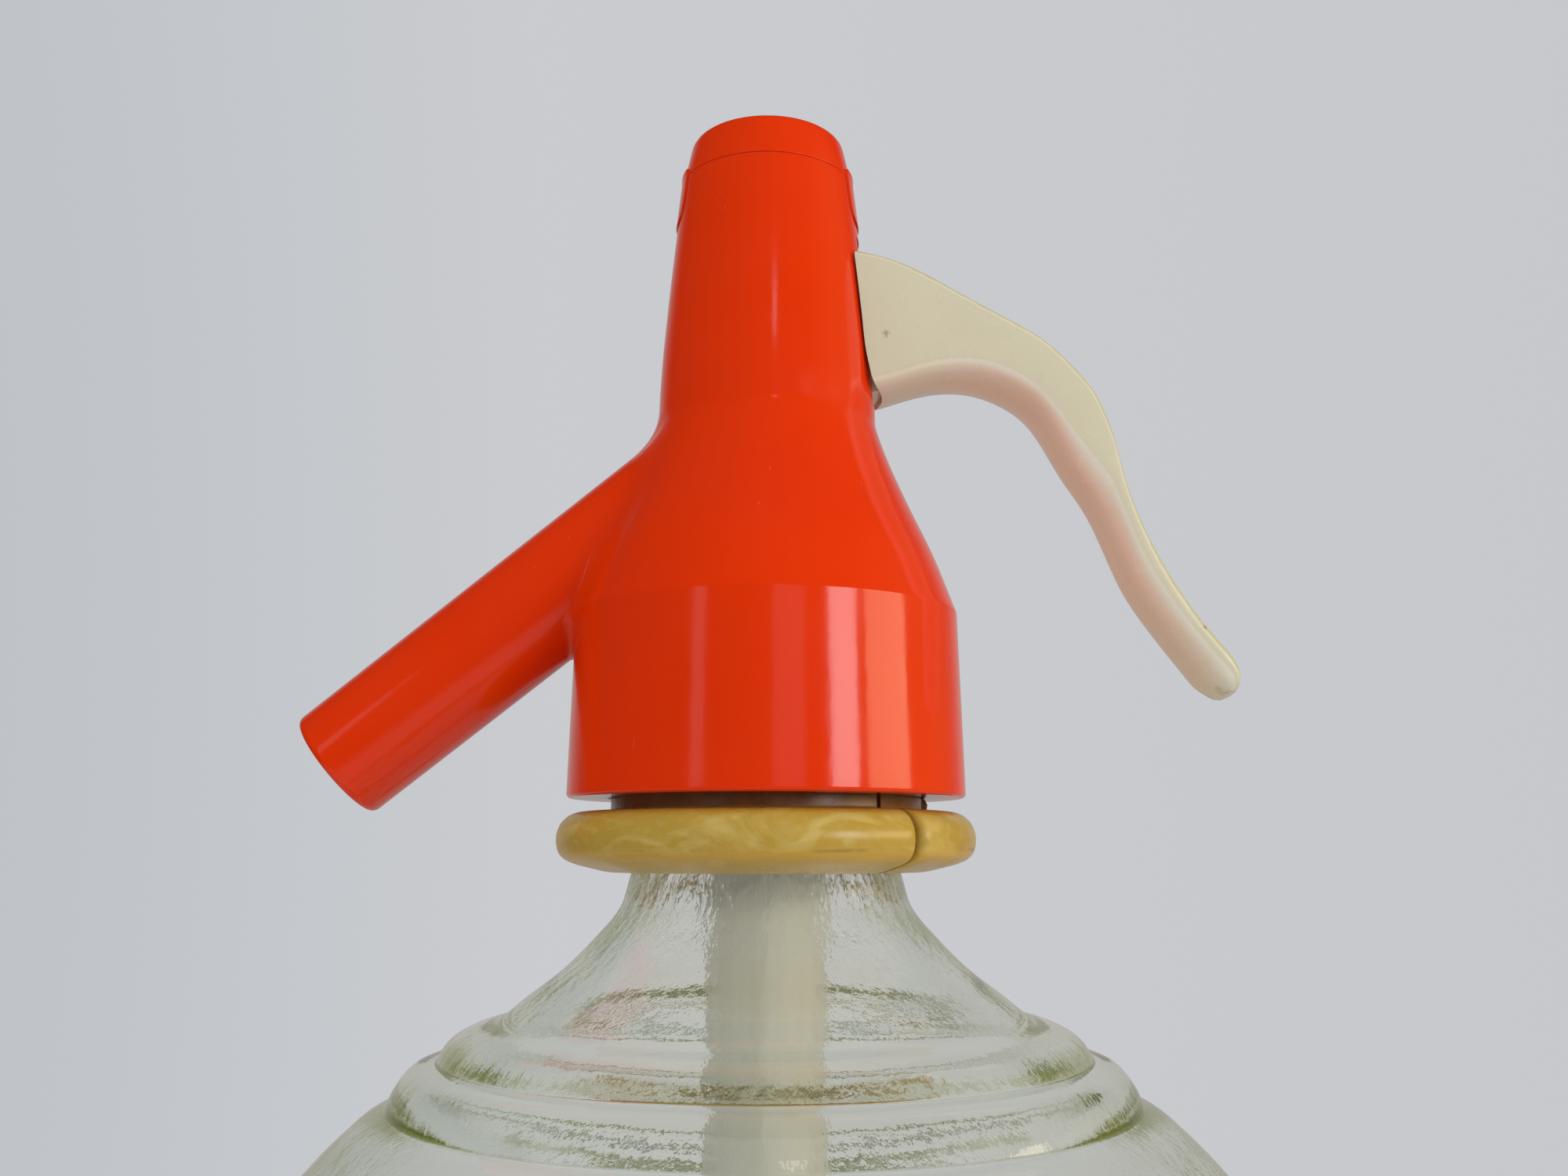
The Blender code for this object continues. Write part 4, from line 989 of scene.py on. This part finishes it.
def thread_runs(start, end):
    """The ridges of the thread that lie between two angles, as short round tubes."""
    meshes = []
    run = []
    low = FLANGE_TOP + RIDGE * 0.6
    count = round(2.4 * 60)
    for index in range(count + 1):
        angle = 2 * math.pi * index / 60
        turn = (angle - start) % (2 * math.pi)
        if 0.02 < turn < end - start - 0.02:
            run.append((0.0176 * math.cos(angle), 0.0176 * math.sin(angle), low + PITCH * index / 60))
            continue
        if len(run) > 2:
            meshes.append(tube_mesh("ridge", run, RIDGE))
        run = []
    if len(run) > 2:
        meshes.append(tube_mesh("ridge", run, RIDGE))
    return meshes


split = math.radians(-47)
for name, start in (("front", split + math.pi), ("rear", split)):
    mesh = joined("collar", collar_mesh(start, start + math.pi), *thread_runs(start, start + math.pi))
    dress(add_piece("collar_" + name, mesh, "siphon", "ochre_plastic", "collar_half_" + name))


# Return spring: a fixed coil at rest; the real one shortens towards the cap when the lever is pressed

spring_low, spring_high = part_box("valve_spring")
wire = 0.00065
turns = 7
coil = []
for index in range(turns * 40 + 1):
    angle = 2 * math.pi * index / 40
    rise = spring_low.z + wire + (spring_high.z - spring_low.z - 2 * wire) * index / (turns * 40)
    coil.append((0.0053 * math.cos(angle), 0.0053 * math.sin(angle), rise))
spring = add_piece("spring_coil", tube_mesh("spring_coil", coil, wire, 12), "siphon", "spring_steel", "valve_spring")
dress(spring)
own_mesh(spring)


# Floor, backdrop and light

def build_world():
    """Soft even light, and a pale backdrop for what the camera, glass and gloss see."""
    world = bpy.data.worlds.new("studio")
    world.use_nodes = True
    bpy.context.scene.world = world
    tree = world.node_tree
    tree.nodes.clear()
    output = tree.nodes.new("ShaderNodeOutputWorld")
    path = tree.nodes.new("ShaderNodeLightPath")
    place = tree.nodes.new("ShaderNodeTexCoord")

    def link(one, two):
        tree.links.new(one, two)

    def maths(operation, one, two):
        node = tree.nodes.new("ShaderNodeMath")
        node.operation = operation
        for value, socket in zip((one, two), node.inputs):
            if isinstance(value, bpy.types.NodeSocket):
                link(value, socket)
            else:
                socket.default_value = value
        return node.outputs[0]

    def background(strength, colour):
        node = tree.nodes.new("ShaderNodeBackground")
        node.inputs["Strength"].default_value = strength
        if isinstance(colour, tuple):
            node.inputs["Color"].default_value = (*colour, 1)
        else:
            link(colour, node.inputs["Color"])
        return node.outputs[0]

    def mixed(share, one, two):
        node = tree.nodes.new("ShaderNodeMixShader")
        link(share, node.inputs["Fac"])
        link(one, node.inputs[1])
        link(two, node.inputs[2])
        return node.outputs[0]

    split_node = tree.nodes.new("ShaderNodeSeparateXYZ")
    link(place.outputs["Generated"], split_node.inputs[0])
    x, y, z = split_node.outputs
    across = tree.nodes.new("ShaderNodeValToRGB")
    link(maths("ADD", maths("MULTIPLY", x, 0.5), 0.5), across.inputs["Fac"])
    ramp = across.color_ramp
    ramp.elements[0].position = 0.20
    ramp.elements[0].color = (0.490, 0.525, 0.555, 1)
    ramp.elements[1].position = 0.85
    ramp.elements[1].color = (0.560, 0.572, 0.595, 1)
    middle = ramp.elements.new(0.42)
    middle.color = (0.590, 0.600, 0.625, 1)
    seen = background(1.0, across.outputs["Color"])
    back = tree.nodes.new("ShaderNodeMapRange")
    back.interpolation_type = "SMOOTHSTEP"
    link(y, back.inputs["Value"])
    back.inputs["From Min"].default_value = 0.5
    back.inputs["From Max"].default_value = 0.95
    right = tree.nodes.new("ShaderNodeMapRange")
    right.interpolation_type = "SMOOTHSTEP"
    link(x, right.inputs["Value"])
    right.inputs["From Min"].default_value = 0.6
    right.inputs["From Max"].default_value = 0.95
    gloss = mixed(right.outputs[0], background(0.03, (1.0, 0.8, 0.7)), background(0.4, (1.0, 0.75, 0.3)))
    gloss = mixed(back.outputs[0], gloss, background(0.45, (1.0, 0.95, 0.92)))
    level = maths("ADD", maths("MULTIPLY", x, -0.04), maths("MULTIPLY", y, -0.08))
    level = maths("ADD", level, maths("MULTIPLY", z, 0.18))
    level = maths("ADD", level, 0.66)
    even = tree.nodes.new("ShaderNodeBackground")
    link(level, even.inputs["Strength"])
    even.inputs["Color"].default_value = (1.0, 0.99, 0.975, 1)
    lit = mixed(path.outputs["Is Glossy Ray"], even.outputs[0], gloss)
    either = maths("MAXIMUM", path.outputs["Is Camera Ray"], path.outputs["Is Transmission Ray"])
    through = maths("GREATER_THAN", path.outputs["Transmission Depth"], 0.5)
    link(mixed(maths("MAXIMUM", either, through), lit, seen), output.inputs["Surface"])


build_world()


def lamp(name, where, target, width, height, power, colour=(1, 1, 1)):
    """A soft rectangular lamp that faces a target."""
    data = bpy.data.lights.new(name, "AREA")
    data.shape = "RECTANGLE"
    data.size = width
    data.size_y = height
    data.energy = power
    data.color = colour
    thing = bpy.data.objects.new(name, data)
    bpy.context.scene.collection.objects.link(thing)
    thing.location = where
    thing.rotation_euler = (Vector(target) - Vector(where)).to_track_quat("-Z", "Y").to_euler()
    thing.visible_camera = False
    thing.visible_transmission = False
    return thing


def round_lamp(name, azimuth, distance, height, width, tall, power, colour=(1, 1, 1)):
    """A lamp at an angle from the camera's side, turned towards the head."""
    angle = math.radians(azimuth)
    where = (distance * math.sin(angle), -distance * math.cos(angle), height)
    return lamp(name, where, (0, 0, 0.24), width, tall, power, colour)


round_lamp("window_right", 44.5, 0.9, 0.36, 0.26, 0.30, 1.7, (1.0, 0.98, 0.97))
round_lamp("window_far_right", 73, 0.9, 0.36, 0.46, 0.30, 1.8, (1.0, 0.86, 0.55))
round_lamp("window_front", 13, 0.9, 0.36, 0.28, 0.30, 0.15)
round_lamp("window_left", -38, 0.9, 0.36, 0.12, 0.30, 0.10)
round_lamp("skylight", 9, 0.8, 0.72, 0.06, 0.10, 0.05)


def build_floor():
    """A pale round floor that fades out at its edge, so that the backdrop shows."""
    shape = bmesh.new()
    bmesh.ops.create_circle(shape, cap_ends=True, segments=128, radius=1.2)
    mesh = bpy.data.meshes.new("floor")
    shape.to_mesh(mesh)
    shape.free()
    floor = bpy.data.objects.new("floor", mesh)
    bpy.context.scene.collection.objects.link(floor)
    paint = Paint("floor_paper", (0.56, 0.575, 0.60), 0.9)
    grain = paint.noise(30, 3.0)
    colour = paint.blend(grain, (0.555, 0.57, 0.60), (0.575, 0.59, 0.615))
    material = paint.finish(colour)
    reach = paint.vector("LENGTH", paint.place)
    fade = paint.rise(reach, 0.25, 0.62)
    clear_shader = paint.tree.nodes.new("ShaderNodeBsdfTransparent")
    glow = paint.tree.nodes.new("ShaderNodeEmission")
    paint.put(colour, glow.inputs["Color"])
    path = paint.tree.nodes.new("ShaderNodeLightPath")
    through = paint.maths("GREATER_THAN", path.outputs["Transmission Depth"], 0.5)
    plain = paint.tree.nodes.new("ShaderNodeMixShader")
    paint.put(through, plain.inputs["Fac"])
    paint.tree.links.new(paint.shader.outputs[0], plain.inputs[1])
    paint.tree.links.new(glow.outputs[0], plain.inputs[2])
    mix = paint.tree.nodes.new("ShaderNodeMixShader")
    paint.put(fade, mix.inputs["Fac"])
    paint.tree.links.new(plain.outputs[0], mix.inputs[1])
    paint.tree.links.new(clear_shader.outputs[0], mix.inputs[2])
    paint.tree.links.new(mix.outputs[0], paint.output.inputs["Surface"])
    mesh.materials.append(material)


build_floor()

camera_data = bpy.data.cameras.new("camera")
camera_data.lens = 33.6
camera_data.sensor_width = 36
camera_data.clip_start = 0.005
camera = bpy.data.objects.new("camera", camera_data)
bpy.context.scene.collection.objects.link(camera)
camera.location = (0.00205, -0.17153, 0.20193)
camera.rotation_euler = (math.radians(100.231), 0, 0)
bpy.context.scene.camera = camera
bpy.context.scene.view_settings.view_transform = "Standard"
bpy.context.scene.cycles.max_bounces = 24
bpy.context.scene.cycles.glossy_bounces = 16
bpy.context.scene.cycles.transmission_bounces = 24
